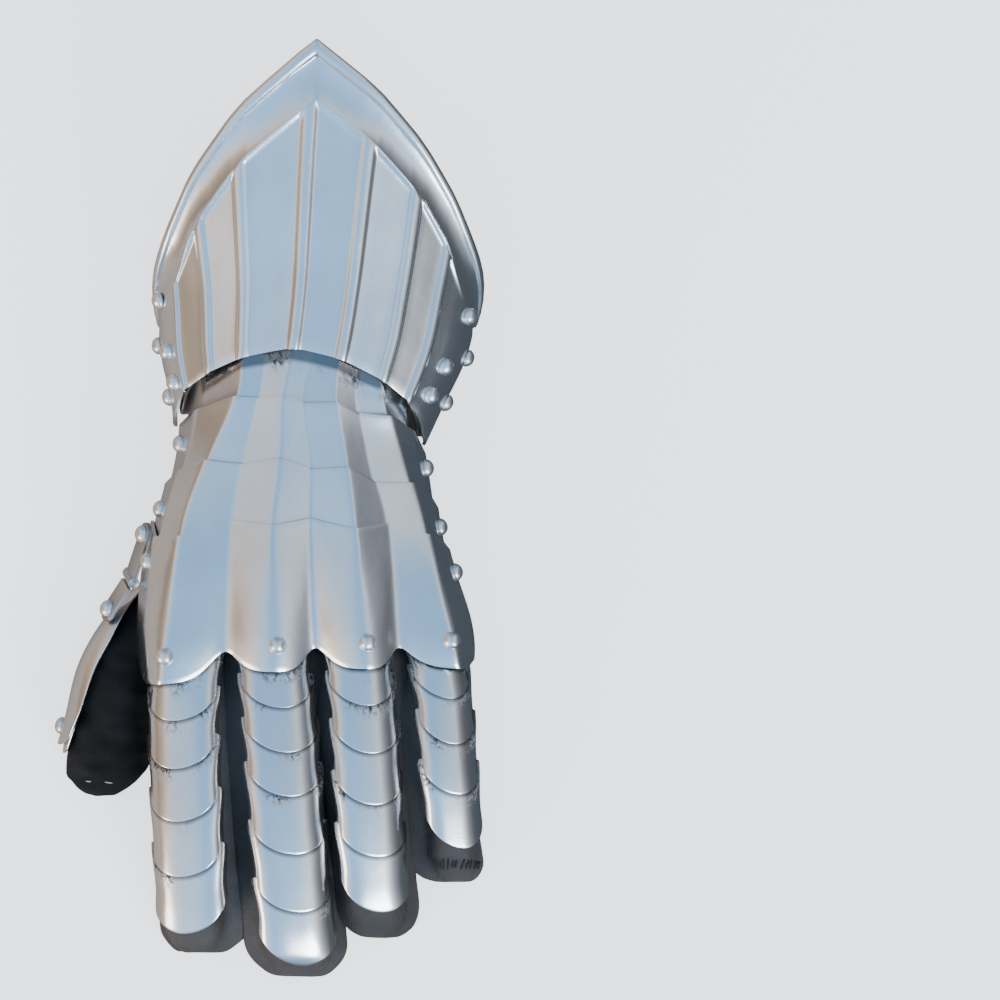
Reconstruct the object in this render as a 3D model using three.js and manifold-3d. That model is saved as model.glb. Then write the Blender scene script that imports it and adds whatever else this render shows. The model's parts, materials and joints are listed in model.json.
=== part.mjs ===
// Steel gauntlet for a left hand, in the Gothic hourglass style, with its leather glove.
// Millimetres, +Z up. It lies palm down: fingers towards -Y, the cuff towards +Y, the thumb at -X.
// The origin is on the resting plane, in the middle of the gauntlet's footprint.

import * as THREE from 'three';
import { mergeVertices } from 'three/addons/utils/BufferGeometryUtils.js';
import Module from 'manifold-3d';

const wasm = await Module();
wasm.setup();

// ---------- Driving dimensions ----------

const STEEL = 1.2; // cuff, lames and the plate over the hand
const SCALE_STEEL = 1.0; // finger scales and thumb plates
const LEATHER = 1.8; // wall of the glove
const SEAT_GAP = 0.35; // between pieces that sit on each other

const LAME_LIFT = 3.0; // upper edge of a lame over the plate before it
const LAME_TUCK = 11; // how far a lame runs on under the next, at the crown
const LAME_TUCK_SIDE = 5; // and how much more at the sides, round the pivots
const RIDGE_SOFTNESS = 0.6; // the flutes' ridges are rounder at the knuckles
const RIDGE_SOFT_FROM = -18; // from here on
const HEM_DEPTH = 13; // side walls of the lames, below their widest line
const HEM_TURN = 3.4; // and how far they turn in there

const SCALE_LIFT = 2.5; // lower edge of a scale over the next
const SCALE_TUCK = 12.5; // how far a scale runs back under the one before it
const SCALE_BOW = 12.5; // depth of its U-shaped lower edge
const SCALE_NECK = 0.8; // its upper corners are cut back by this
const SCALE_SKIRT = 9.5; // height of its arch, from its feet on the leather

const RIVET_RADIUS = 3.3;
const RIVET_HEIGHT = 2.6;
const RIVET_SEAT = 0.45; // under the flat of a rivet's dome
const SHANK_RADIUS = 1.5;
const SHANK_HOLE = 2.1;
const RIVET_SIDES = 8;
const SHANK_HOLE_SIDES = 6;

// The arch over the wrist and the hand. left and right are its widest lines, crown its highest
// line, girth the height of the widest lines, relief the height of the fluting, power how square
// the arch is, and thumbHem how far its wall hangs below the girth on the thumb's side.
const HAND_SECTIONS = [
  { y: 72, left: -38, right: 64, crown: 68.5, girth: 36, relief: 0.2, power: 2.2, thumbHem: 14 },
  { y: 58, left: -35, right: 60, crown: 66.5, girth: 35, relief: 0.6, power: 2.25, thumbHem: 14 },
  { y: 39, left: -32.2, right: 55.5, crown: 64.5, girth: 34, relief: 1, power: 2.3, thumbHem: 14 },
  { y: 25, left: -33.5, right: 53.2, crown: 62.5, girth: 33, relief: 1.3, power: 2.35, thumbHem: 14 },
  { y: 10, left: -37.5, right: 56.2, crown: 61, girth: 32, relief: 1.7, power: 2.45, thumbHem: 13 },
  { y: -11, left: -45, right: 61.3, crown: 60, girth: 31, relief: 2.2, power: 2.6, thumbHem: 11 },
  { y: -25, left: -48, right: 66.2, crown: 59.5, girth: 30.5, relief: 2.6, power: 2.75, thumbHem: 8 },
  { y: -42, left: -50.4, right: 73, crown: 57.2, girth: 29.5, relief: 3.2, power: 2.9, thumbHem: 2.5 },
  { y: -54, left: -50.6, right: 75.2, crown: 55, girth: 28.5, relief: 3.7, power: 3.4, thumbHem: 1.5 },
  { y: -68, left: -50, right: 74, crown: 51.5, girth: 27.5, relief: 4.1, power: 3.6, thumbHem: 1.5 },
];

// Where the flutes run: a ridge over each finger, and a valley over each gap between two.
const CREASES = [
  { y: 72, index: -10.5, gap1: -1, middle: 9, gap2: 18, ring: 26.5, gap3: 35, little: 42.5 },
  { y: 58, index: -10.7, gap1: -1.9, middle: 8.4, gap2: 16.7, ring: 25.6, gap3: 33.5, little: 41.6 },
  { y: 39, index: -12.5, gap1: -4.6, middle: 4.7, gap2: 12.1, ring: 23.7, gap3: 31.2, little: 41.4 },
  { y: 16, index: -23.3, gap1: -10.2, middle: 3.7, gap2: 14.6, ring: 27.4, gap3: 34.9, little: 47.9 },
  { y: -8, index: -32.5, gap1: -14.4, middle: 0.9, gap2: 14.4, ring: 30.7, gap3: 41.9, little: 55.8 },
  { y: -54, index: -39, gap1: -17.2, middle: 0.9, gap2: 16, ring: 34.4, gap3: 46.9, little: 67.4 },
];
const CREASE_NAMES = ['index', 'gap1', 'middle', 'gap2', 'ring', 'gap3', 'little'];

// Edges of the plates, as y along the lines of the arch: hem, side, shoulder, the seven creases,
// shoulder, side, hem. Each is the visible edge of the plate it names, nearest the cuff.
const CUFF_EDGE_OVER_LAME = [30, 37, 45, 53, 54.2, 55.8, 54.6, 52.2, 48.6, 45, 38.5, 28, 22];
const LAME_2_EDGE = [27, 30.7, 35, 39.3, 38.8, 39.3, 36.8, 36.9, 33.5, 32.8, 27.5, 19.5, 17];
const LAME_3_EDGE = [3.5, 8.4, 12, 16, 14.5, 16.2, 12.5, 13.1, 7.8, 7.8, 4, -0.5, -4];
const METACARPAL_EDGE = [-9, -5.5, -12.2, -12.4, -6.5, -8.4, -5.6, -9.8, -7.4, -11.6, -13.6, -16.5, -20];
// The scalloped knuckle edge also has a point half way between the creases.
const KNUCKLE_EDGE = [
  -60, -63, -65, -66, -66.3, -66.4, -66.4, -64.5, -54.5, -61, -62.3, -61, -53.4,
  -60, -61.2, -60, -53.4, -59.5, -60.8, -60.8, -60, -58, -56, -54, -52,
];

// The cuff: an ellipse over the forearm that flares towards the arm. centre and reach are the
// middle and the half width.
const CUFF_SECTIONS = [
  { y: 20, centre: 8.5, reach: 46.5, crown: 67, girth: 35 },
  { y: 37, centre: 12.5, reach: 50.5, crown: 69.5, girth: 36.5 },
  { y: 56, centre: 15, reach: 57, crown: 72.5, girth: 38.5 },
  { y: 79, centre: 16.7, reach: 60.5, crown: 78, girth: 42 },
  { y: 98, centre: 17.1, reach: 64, crown: 84, girth: 45 },
  { y: 124, centre: 17.3, reach: 68.4, crown: 92.5, girth: 49 },
  { y: 156, centre: 17.7, reach: 73.5, crown: 103, girth: 54 },
  { y: 178, centre: 18, reach: 75.8, crown: 110, girth: 58 },
];

// The cuff's lines, as y at an angle from its crown in degrees, towards the little finger.
const CUFF_WRIST_EDGE = [
  { angle: -98, y: 30.5 },
  { angle: -80, y: 33 },
  { angle: -67, y: 39.8 },
  { angle: -44, y: 47.6 },
  { angle: -26, y: 53 },
  { angle: -7, y: 55.8 },
  { angle: 10, y: 52.4 },
  { angle: 30, y: 45 },
  { angle: 48, y: 37.6 },
  { angle: 64, y: 30.5 },
  { angle: 78, y: 25 },
  { angle: 98, y: 23.4 },
];
// The arm end comes to a point over the crown; the rim and the chevron follow it.
const CUFF_ARM_LINES = [
  { angle: 0, edge: 166, rim: 160, chevron: 145 },
  { angle: 20, edge: 146.5, rim: 141, chevron: 127 },
  { angle: 40, edge: 123.5, rim: 118, chevron: 105 },
  { angle: 60, edge: 100.5, rim: 94.6, chevron: 80.5 },
  { angle: 80, edge: 84.8, rim: 79.2, chevron: 66.2 },
  { angle: 95, edge: 74.5, rim: 69, chevron: 57.5 },
];
const RIM_HEIGHT = 1.5; // the rim's roll over the band inside it
const BAND_DEPTH = 0.7; // the hollow band between rim and chevron
const CREST_HEIGHT = 1.2; // the chevron's crest, over the panels below it
const CREST_FADE = { from: 48, to: 66 }; // degrees over which the crest runs out, at the sides
const RIDGE_HEIGHT = 1.7;
const RIDGE_HALF_WIDTH = 2.6; // degrees
const RIDGE_SPAN = { from: 50, length: 90 }; // along y, where a ridge goes over to its arm angle
// Angle of each ridge at the wrist and at the arm end.
const CUFF_RIDGES = [
  { wrist: -60.5, arm: -60.5 },
  { wrist: -42.5, arm: -42.5 },
  { wrist: -27, arm: -24.3 },
  { wrist: -7, arm: -2 },
  { wrist: 11.5, arm: 17 },
  { wrist: 31, arm: 35 },
  { wrist: 47.8, arm: 52 },
];
const CUFF_HEM_ANGLE = 98;
const UNDER_PLATE_TOP = 56; // degrees from the crown where the under plate ends, inside the cuff
const UNDER_PLATE_ARM_EDGE = 71;
const UNDER_PLATE_FORWARD = 5; // its wrist edge lies this much further back under the palm
const UNDER_PLATE_INSET = STEEL + 1.6; // its outer face inside the cuff's
// Height of the underside along the cuff: it rests on the ground at its arm edge.
const UNDER_FLOOR = [
  { y: 36, floor: 6 },
  { y: 54, floor: 2.4 },
  { y: 71, floor: 0 },
];

// Fingers. x and y are the middle line at the root and at the tip, breadth the glove's width under
// the scales, and rise its height over the common profile. The flanks are how much wider the leather
// is below the scales at each side, at the root and at the tip. edges are the scales' lower edges.
const FINGER_ROOT_Y = -50.5;
const FINGERS = [
  { name: 'index', rootX: -33.2, tipX: -29.5, tipY: -166, breadth: 20, rise: 0,
    flanks: { left: [0.5, 3], right: [6, 8.5] },
    edges: [-80, -97.7, -117.2, -137.6, -158.7] },
  { name: 'middle', rootX: 0.6, tipX: 9.4, tipY: -175, breadth: 22.4, rise: 3.5,
    flanks: { left: [5.5, 6], right: [4.5, 5.5] },
    edges: [-75.3, -91.7, -107.9, -129.3, -150.7, -170.6] },
  { name: 'ring', rootX: 31.8, tipX: 38, tipY: -160.5, breadth: 20.4, rise: 2.5,
    flanks: { left: [4, 1], right: [5, 5] },
    edges: [-74.4, -92, -111, -130.2, -150.7] },
  { name: 'little', rootX: 61.4, tipX: 68, tipY: -139.5, breadth: 16.4, rise: -3.5,
    flanks: { left: [4.5, 8], right: [0.5, 4] },
    edges: [-71.6, -88.4, -107, -126.9] },
];
// Shared side profile of a finger of the glove, from root to tip.
const FINGER_PROFILE = [
  { along: 0, top: 44.2, bottom: 20, spread: 0.86 },
  { along: 0.13, top: 43.9, bottom: 19.2, spread: 0.95 },
  { along: 0.28, top: 42.2, bottom: 17.8, spread: 1 },
  { along: 0.55, top: 36, bottom: 12.5, spread: 1.02 },
  { along: 0.78, top: 27.5, bottom: 5.2, spread: 1.04 },
  { along: 0.93, top: 20, bottom: 0.6, spread: 1.08 },
  { along: 1, top: 12.5, bottom: 1.2, spread: 0.86 },
];
const LOW_SPREAD = 0.11; // the leather widens towards the underside of a finger

// The thumb of the glove: middle line, half width and half height.
const THUMB_PATH = [
  { x: -38, y: -33, z: 14.5, wide: 11.5, high: 11 },
  { x: -50.5, y: -46, z: 15, wide: 12, high: 11.5 },
  { x: -58.5, y: -62, z: 16.2, wide: 13, high: 12 },
  { x: -61, y: -79, z: 15, wide: 14.3, high: 12 },
  { x: -62.5, y: -93, z: 12.5, wide: 15.6, high: 11 },
  { x: -65, y: -104.5, z: 9, wide: 10.5, high: 7 },
];

// Plates of the thumb: the shares of its length that they cover, how much narrower one is at each
// side, and how far its lower end stands off.
const THUMB_PLATE = { from: 0.03, to: 0.74, narrower: 0, lift: 2.3 };
const THUMB_TIP_PLATE = { from: 0.56, to: 0.81, narrower: 8, lift: 0 };
// Their middle line, in degrees from straight up towards the outer side, and half their turn.
const THUMB_PLATE_LINES = [
  { share: 0, middle: 85, half: 26 },
  { share: 0.3, middle: 71, half: 44 },
  { share: 0.75, middle: 98, half: 44 },
];

// The hinge of the thumb: the rounded end of its upper leaf, the barrel, and the way it faces.
const HINGE = {
  upperEnd: [-46.2, -6.6, 41.5],
  barrel: [-53.4, -26, 31],
  facing: [-0.86, 0.2, 0.46],
  fold: 15, // degrees that the lower leaf swings out from the line of the upper
  lowerLength: 19.5,
  width: 9,
  leaf: 1.8,
  barrelRadius: 2.5,
};

// ---------- Curves, sheets and solids ----------

// A smooth curve through a table's rows, which also runs straight on past its two ends.
function curveThrough(rows, at, value) {
  const ordered = [...rows].sort((a, b) => a[at] - b[at]);
  const last = ordered.length - 1;
  const slope = (i, j) => (ordered[j][value] - ordered[i][value]) / (ordered[j][at] - ordered[i][at]);
  const tangents = ordered.map((row, i) => slope(Math.max(i - 1, 0), Math.min(i + 1, last)));
  return (t) => {
    if (t <= ordered[0][at]) return ordered[0][value] + tangents[0] * (t - ordered[0][at]);
    if (t >= ordered[last][at]) return ordered[last][value] + tangents[last] * (t - ordered[last][at]);
    const i = ordered.findIndex((row, k) => k < last && t <= ordered[k + 1][at]);
    const span = ordered[i + 1][at] - ordered[i][at];
    const s = (t - ordered[i][at]) / span;
    const start = ordered[i][value] * (1 + 2 * s) * (1 - s) ** 2 + tangents[i] * span * s * (1 - s) ** 2;
    const end = ordered[i + 1][value] * s * s * (3 - 2 * s) + tangents[i + 1] * span * s * s * (s - 1);
    return start + end;
  };
}

// A value from a list of evenly numbered lines, straight between them.
function between(values, position) {
  const i = Math.min(Math.floor(position), values.length - 2);
  return THREE.MathUtils.lerp(values[i], values[i + 1], position - i);
}

function steps(count, start = 0, end = 1) {
  return Array.from({ length: count + 1 }, (_, i) => start + ((end - start) * i) / count);
}

function superSine(angle, power) {
  const s = Math.sin(angle);
  return Math.sign(s) * Math.abs(s) ** (2 / power);
}

function geometryFrom(points, triangles) {
  const geometry = new THREE.BufferGeometry();
  const values = points.flatMap((point) => point.toArray());
  geometry.setAttribute('position', new THREE.Float32BufferAttribute(values, 3));
  geometry.setIndex(triangles.flat());
  return geometry;
}

// The outward normal of a face whose first direction runs towards +X and second towards -Y.
function faceNormal(pointAt, across, along, stepAcross, stepAlong) {
  const towardsRight = pointAt(across + stepAcross, along).sub(pointAt(across - stepAcross, along));
  const towardsTip = pointAt(across, along + stepAlong).sub(pointAt(across, along - stepAlong));
  return towardsTip.cross(towardsRight).normalize();
}

// A curved plate: a grid of points on its outer face, the same grid moved inwards by the
// thickness, and a rim that joins the two. Columns run towards +X and rows towards the fingers.
function sheet(columns, rows, thickness, pointAt) {
  const wide = columns.length;
  const grid = rows.map((row) => columns.map((column) => pointAt(column, row)));
  const outer = grid.flat();
  const inner = grid.flatMap((line, r) => line.map((point, c) => {
    const before = grid[Math.max(r - 1, 0)][c];
    const after = grid[Math.min(r + 1, rows.length - 1)][c];
    const towardsTip = after.clone().sub(before);
    const towardsRight = line[Math.min(c + 1, wide - 1)].clone().sub(line[Math.max(c - 1, 0)]);
    return point.clone().addScaledVector(towardsTip.cross(towardsRight).normalize(), -thickness);
  }));
  const triangles = [];
  const under = outer.length;
  for (let r = 0; r < rows.length - 1; r++) {
    for (let c = 0; c < wide - 1; c++) {
      const corner = [r * wide + c, (r + 1) * wide + c, (r + 1) * wide + c + 1, r * wide + c + 1];
      const [a, b, d, e] = corner;
      triangles.push([a, b, d], [a, d, e]);
      triangles.push([a + under, d + under, b + under], [a + under, e + under, d + under]);
    }
  }
  const lastRow = (rows.length - 1) * wide;
  const edge = [];
  for (let r = 0; r < rows.length - 1; r++) edge.push([r * wide, (r + 1) * wide]);
  for (let c = 0; c < wide - 1; c++) edge.push([lastRow + c, lastRow + c + 1]);
  for (let r = rows.length - 1; r > 0; r--) edge.push([r * wide + wide - 1, (r - 1) * wide + wide - 1]);
  for (let c = wide - 1; c > 0; c--) edge.push([c, c - 1]);
  edge.forEach(([p, q]) => triangles.push([q, p, p + under], [q, p + under, q + under]));
  return geometryFrom([...outer, ...inner], triangles);
}

// A closed body through rings of equal count, with a flat cap at each end.
function loft(rings) {
  const count = rings[0].length;
  const points = rings.flat();
  const triangles = [];
  for (let r = 0; r < rings.length - 1; r++) {
    for (let i = 0; i < count; i++) {
      const j = (i + 1) % count;
      const a = r * count + i;
      const b = r * count + j;
      triangles.push([a, b, b + count], [a, b + count, a + count]);
    }
  }
  const lastRing = (rings.length - 1) * count;
  for (let i = 1; i < count - 1; i++) {
    triangles.push([0, i + 1, i], [lastRing, lastRing + i, lastRing + i + 1]);
  }
  return facingOut(geometryFrom(points, triangles));
}

function facingOut(geometry) {
  const position = geometry.getAttribute('position');
  const index = geometry.getIndex();
  const corner = [0, 1, 2].map(() => new THREE.Vector3());
  let volume = 0;
  for (let i = 0; i < index.count; i += 3) {
    corner.forEach((point, k) => point.fromBufferAttribute(position, index.getX(i + k)));
    volume += corner[0].dot(corner[1].clone().cross(corner[2]));
  }
  if (volume < 0) {
    for (let i = 0; i < index.count; i += 3) {
      const second = index.getX(i + 1);
      index.setX(i + 1, index.getX(i + 2));
      index.setX(i + 2, second);
    }
  }
  return geometry;
}

function solidOf(source) {
  const bare = source.clone();
  bare.deleteAttribute('normal');
  bare.deleteAttribute('uv');
  const merged = mergeVertices(bare, 1e-4);
  const mesh = new wasm.Mesh({
    numProp: 3,
    vertProperties: new Float32Array(merged.getAttribute('position').array),
    triVerts: new Uint32Array(merged.getIndex().array),
  });
  return new wasm.Manifold(mesh);
}

function geometryOf(solid) {
  const mesh = solid.getMesh();
  const geometry = new THREE.BufferGeometry();
  geometry.setAttribute('position', new THREE.BufferAttribute(new Float32Array(mesh.vertProperties), 3));
  geometry.setIndex(new THREE.BufferAttribute(new Uint32Array(mesh.triVerts), 1));
  return geometry;
}

// ---------- The arch over the wrist and the hand ----------

const handCurve = Object.fromEntries(
  ['left', 'right', 'crown', 'girth', 'relief', 'power', 'thumbHem'].map(
    (key) => [key, curveThrough(HAND_SECTIONS, 'y', key)],
  ),
);
const creaseCurve = CREASE_NAMES.map((name) => curveThrough(CREASES, 'y', name));

// The thirteen lines of the arch at y: hem, side, shoulder, creases, shoulder, side, hem.
function handSection(y) {
  const left = handCurve.left(y);
  const right = handCurve.right(y);
  const girth = handCurve.girth(y);
  const centre = (left + right) / 2;
  const reach = (right - left) / 2;
  const power = handCurve.power(y);
  const height = (u) => girth + (handCurve.crown(y) - girth) * (1 - Math.abs(u) ** power) ** (1 / power);
  const creases = creaseCurve.map((curve, i) => {
    const x = curve(y);
    const flute = i % 2 === 0 ? handCurve.relief(y) : -handCurve.relief(y);
    return { x, z: height((x - centre) / reach) + flute };
  });
  const shoulder = (crease, side) => {
    const u = 0.35 * ((crease.x - centre) / reach) + 0.65 * side;
    return { x: centre + u * reach, z: height(u) };
  };
  return [
    { x: left + (HEM_TURN * handCurve.thumbHem(y)) / HEM_DEPTH, z: girth - handCurve.thumbHem(y) },
    { x: left, z: girth },
    shoulder(creases[0], -1),
    ...creases,
    shoulder(creases[6], 1),
    { x: right, z: girth },
    { x: right - HEM_TURN, z: girth - HEM_DEPTH },
  ];
}

// A point of the arch on line `across`, from 0 at the thumb side's hem to 12 at the other.
function archPoint(across, y) {
  const section = handSection(y);
  const i = Math.min(Math.floor(across), section.length - 2);
  const t = across - i;
  const isFluted = i >= 2 && i <= 9;
  const soft = isFluted ? RIDGE_SOFTNESS * THREE.MathUtils.clamp((RIDGE_SOFT_FROM - y) / 30, 0, 1) : 0;
  const rounded = t + (i % 2 === 0 ? soft : -soft) * t * (1 - t);
  return new THREE.Vector3(
    THREE.MathUtils.lerp(section[i].x, section[i + 1].x, t),
    y,
    THREE.MathUtils.lerp(section[i].z, section[i + 1].z, rounded),
  );
}

function liftedArchPoint(across, y, lift) {
  const inside = THREE.MathUtils.clamp(across, 0.3, 11.7);
  const normal = faceNormal((a, along) => archPoint(a, -along), inside, -y, 0.3, 1);
  return archPoint(across, y).addScaledVector(normal, lift);
}

const ARCH_LINES = steps(12, 0, 12);

function tuckAt(across) {
  return LAME_TUCK + (LAME_TUCK_SIDE * Math.abs(across - 6)) / 6;
}

// A plate of the arch between two edges. lift raises its upper edge and fades to nothing.
function lame(upper, lower, lift) {
  const face = (across, y) => {
    const share = (upper(across) - y) / (upper(across) - lower(across));
    return liftedArchPoint(across, y, lift * (1 - share));
  };
  return { upper, lower, face };
}

function lamePlate({ upper, lower, face }, columns, rows) {
  return sheet(columns, rows, STEEL, (across, row) => {
    return face(across, THREE.MathUtils.lerp(upper(across), lower(across), row));
  });
}

const along = (edge) => (across) => between(edge, across);
const tuckedUnder = (edge) => (across) => between(edge, across) - tuckAt(across);

const tuckedInCuff = (across) => between(CUFF_EDGE_OVER_LAME, across) + tuckAt(across);

const LAME_1 = lame(tuckedInCuff, tuckedUnder(LAME_2_EDGE), 0);
const LAME_2 = lame(along(LAME_2_EDGE), tuckedUnder(LAME_3_EDGE), LAME_LIFT);
const LAME_3 = lame(along(LAME_3_EDGE), tuckedUnder(METACARPAL_EDGE), LAME_LIFT);
const knuckleEdge = (across) => between(KNUCKLE_EDGE, across * 2);
const METACARPAL = lame(along(METACARPAL_EDGE), knuckleEdge, LAME_LIFT);

// ---------- The cuff ----------

const cuffCurve = Object.fromEntries(
  ['centre', 'reach', 'crown', 'girth'].map((key) => [key, curveThrough(CUFF_SECTIONS, 'y', key)]),
);
const cuffWristEdge = curveThrough(CUFF_WRIST_EDGE, 'angle', 'y');
const cuffArmLine = Object.fromEntries(
  ['edge', 'rim', 'chevron'].map((key) => {
    const line = curveThrough(CUFF_ARM_LINES, 'angle', key);
    return [key, (angle) => line(Math.abs(angle))];
  }),
);

function cuffPoint(angle, y) {
  const turn = THREE.MathUtils.degToRad(angle);
  return new THREE.Vector3(
    cuffCurve.centre(y) + cuffCurve.reach(y) * Math.sin(turn),
    y,
    cuffCurve.girth(y) + (cuffCurve.crown(y) - cuffCurve.girth(y)) * Math.cos(turn),
  );
}

function liftedCuffPoint(angle, y, lift) {
  const normal = faceNormal((a, along) => cuffPoint(a, -along), angle, -y, 2, 1);
  return cuffPoint(angle, y).addScaledVector(normal, lift);
}

// Columns of the cuff: the hems and sides, and three for each ridge, its crest and its two feet.
const CUFF_COLUMNS = [
  { wrist: -CUFF_HEM_ANGLE, arm: -CUFF_HEM_ANGLE, ridge: 0 },
  { wrist: -88, arm: -88, ridge: 0 },
  { wrist: -75, arm: -75, ridge: 0 },
  ...CUFF_RIDGES.flatMap(({ wrist, arm }) => [-1, 0, 1].map((side) => ({
    wrist: wrist + side * RIDGE_HALF_WIDTH,
    arm: arm + side * RIDGE_HALF_WIDTH,
    ridge: side === 0 ? RIDGE_HEIGHT : 0,
  }))),
  { wrist: 64, arm: 66, ridge: 0 },
  { wrist: 76, arm: 77, ridge: 0 },
  { wrist: 88, arm: 88, ridge: 0 },
  { wrist: CUFF_HEM_ANGLE, arm: CUFF_HEM_ANGLE, ridge: 0 },
];

// Rows of the cuff from its arm end to the wrist: the rim, the hollow band, the chevron's step
// and the ridged panels.
const CUFF_ROWS = [
  { from: 'edge', to: 'rim', part: 0, lift: RIM_HEIGHT * 0.5, ridged: 0 },
  { from: 'edge', to: 'rim', part: 0.5, lift: RIM_HEIGHT, ridged: 0 },
  { from: 'edge', to: 'rim', part: 1, lift: 0, ridged: 0 },
  { from: 'rim', to: 'chevron', part: 0.5, lift: -BAND_DEPTH, ridged: 0 },
  { from: 'rim', to: 'chevron', part: 0.96, lift: CREST_HEIGHT, ridged: 0, fades: 1 },
  { from: 'chevron', to: 'wrist', part: 0.035, lift: 0, ridged: 1 },
  { from: 'chevron', to: 'wrist', part: 0.35, lift: 0, ridged: 1 },
  { from: 'chevron', to: 'wrist', part: 0.68, lift: 0, ridged: 1 },
  { from: 'chevron', to: 'wrist', part: 1, lift: 0, ridged: 1 },
];

function cuffPlate() {
  const lineAt = { ...cuffArmLine, wrist: cuffWristEdge };
  return sheet(CUFF_COLUMNS, CUFF_ROWS, STEEL, (column, row) => {
    const rough = THREE.MathUtils.lerp(lineAt[row.from](column.arm), lineAt[row.to](column.arm), row.part);
    const share = THREE.MathUtils.clamp((rough - RIDGE_SPAN.from) / RIDGE_SPAN.length, 0, 1);
    const angle = THREE.MathUtils.lerp(column.wrist, column.arm, share);
    const y = THREE.MathUtils.lerp(lineAt[row.from](angle), lineAt[row.to](angle), row.part);
    const faded = THREE.MathUtils.smoothstep(Math.abs(angle), CREST_FADE.from, CREST_FADE.to);
    const lift = row.lift * (row.fades ? 1 - faded : 1);
    return liftedCuffPoint(angle, y, lift + column.ridge * row.ridged);
  });
}

const underFloor = curveThrough(UNDER_FLOOR, 'y', 'floor');
const UNDER_POWER = 2.6; // the underside is flatter than the arch

// The under plate: inside the cuff at its sides, then round beneath the wrist.
function underPoint(angle, y) {
  const turn = THREE.MathUtils.degToRad(angle);
  const reach = cuffCurve.reach(y) - UNDER_PLATE_INSET;
  const girth = cuffCurve.girth(y);
  if (Math.abs(angle) <= 90) {
    const height = cuffCurve.crown(y) - girth - UNDER_PLATE_INSET;
    const x = cuffCurve.centre(y) + reach * Math.sin(turn);
    return new THREE.Vector3(x, y, girth + height * Math.cos(turn));
  }
  const drop = Math.abs(Math.cos(turn)) ** (2 / UNDER_POWER);
  const across = reach * superSine(turn, UNDER_POWER);
  return new THREE.Vector3(cuffCurve.centre(y) + across, y, girth - (girth - underFloor(y)) * drop);
}

function underWristEdge(angle) {
  const side = Math.sign(angle) * Math.min(Math.abs(angle), CUFF_HEM_ANGLE);
  const beneath = Math.max(Math.abs(angle) - CUFF_HEM_ANGLE, 0) / (180 - CUFF_HEM_ANGLE);
  const hidden = Math.max(cuffWristEdge(side), cuffWristEdge(Math.sign(side) * 80)) + 2;
  return hidden + UNDER_PLATE_FORWARD * beneath;
}

function underPlate() {
  const columns = steps(16, UNDER_PLATE_TOP, 360 - UNDER_PLATE_TOP);
  return sheet(columns, steps(3), STEEL, (turn, row) => {
    const angle = turn > 180 ? turn - 360 : turn;
    return underPoint(angle, THREE.MathUtils.lerp(UNDER_PLATE_ARM_EDGE, underWristEdge(angle), row));
  });
}

// ---------- Fingers and scales ----------

const profileCurve = Object.fromEntries(
  ['top', 'bottom', 'spread'].map((key) => [key, curveThrough(FINGER_PROFILE, 'along', key)]),
);
const FINGER_POWER = 2.3;
const FINGER_SIDES = 10;
const FINGER_STATIONS = [0, 0.16, 0.32, 0.5, 0.66, 0.8, 0.92, 0.98, 1];
const HOLLOW_STATIONS = [0, 0.3, 0.6, 0.85, 1];
const FINGER_END = 0.8; // the last ring of a finger is this much smaller
const FINGER_SWING = 1.3; // a finger bends from its root line to its tip line, later than halfway
const FLANK_SWING = 1.5; // and its flanks change over later still

function fingerSection(finger, y) {
  const along = (FINGER_ROOT_Y - y) / (FINGER_ROOT_Y - finger.tipY);
  const rise = finger.rise * THREE.MathUtils.clamp(1 - along, 0, 1);
  const top = profileCurve.top(along) + rise;
  const bottom = profileCurve.bottom(along) + rise;
  const flankShare = THREE.MathUtils.clamp(along, 0, 1) ** FLANK_SWING;
  return {
    x: THREE.MathUtils.lerp(finger.rootX, finger.tipX, along ** FINGER_SWING),
    z: (top + bottom) / 2,
    wide: (finger.breadth / 2) * profileCurve.spread(along),
    high: (top - bottom) / 2,
    flanks: ['left', 'right'].map((side) => THREE.MathUtils.lerp(...finger.flanks[side], flankShare)),
  };
}

// A ring of a finger. Its flanks stand out on the lower half, past the feet of the scales.
function fingerRing({ x, z, wide, high, flanks }, y, inset, scale) {
  return steps(FINGER_SIDES, 0, 2 * Math.PI).slice(0, -1).map((turn) => {
    const up = superSine(turn, FINGER_POWER);
    const across = superSine(turn + Math.PI / 2, FINGER_POWER);
    const flank = flanks[across < 0 ? 0 : 1] * THREE.MathUtils.clamp(-up / 0.5, 0, 1) * Math.sign(across);
    const reach = (wide - inset) * (1 + LOW_SPREAD * (1 - up)) * across + flank;
    return new THREE.Vector3(x + reach * scale, y, z + (high - inset) * up * scale);
  });
}

function fingerBody(finger, stations, inset, startY, endY) {
  return loft(stations.map((share) => {
    const y = THREE.MathUtils.lerp(startY, endY, share);
    const section = fingerSection(finger, Math.min(y, FINGER_ROOT_Y));
    return fingerRing(section, y, inset, share === 1 ? FINGER_END : 1);
  }));
}

function fingerStall(finger) {
  const outside = fingerBody(finger, FINGER_STATIONS, 0, FINGER_ROOT_Y, finger.tipY);
  const inside = fingerBody(finger, HOLLOW_STATIONS, LEATHER, FINGER_ROOT_Y + 6, finger.tipY + 2 * LEATHER);
  return geometryOf(solidOf(outside).subtract(solidOf(inside)));
}

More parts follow.
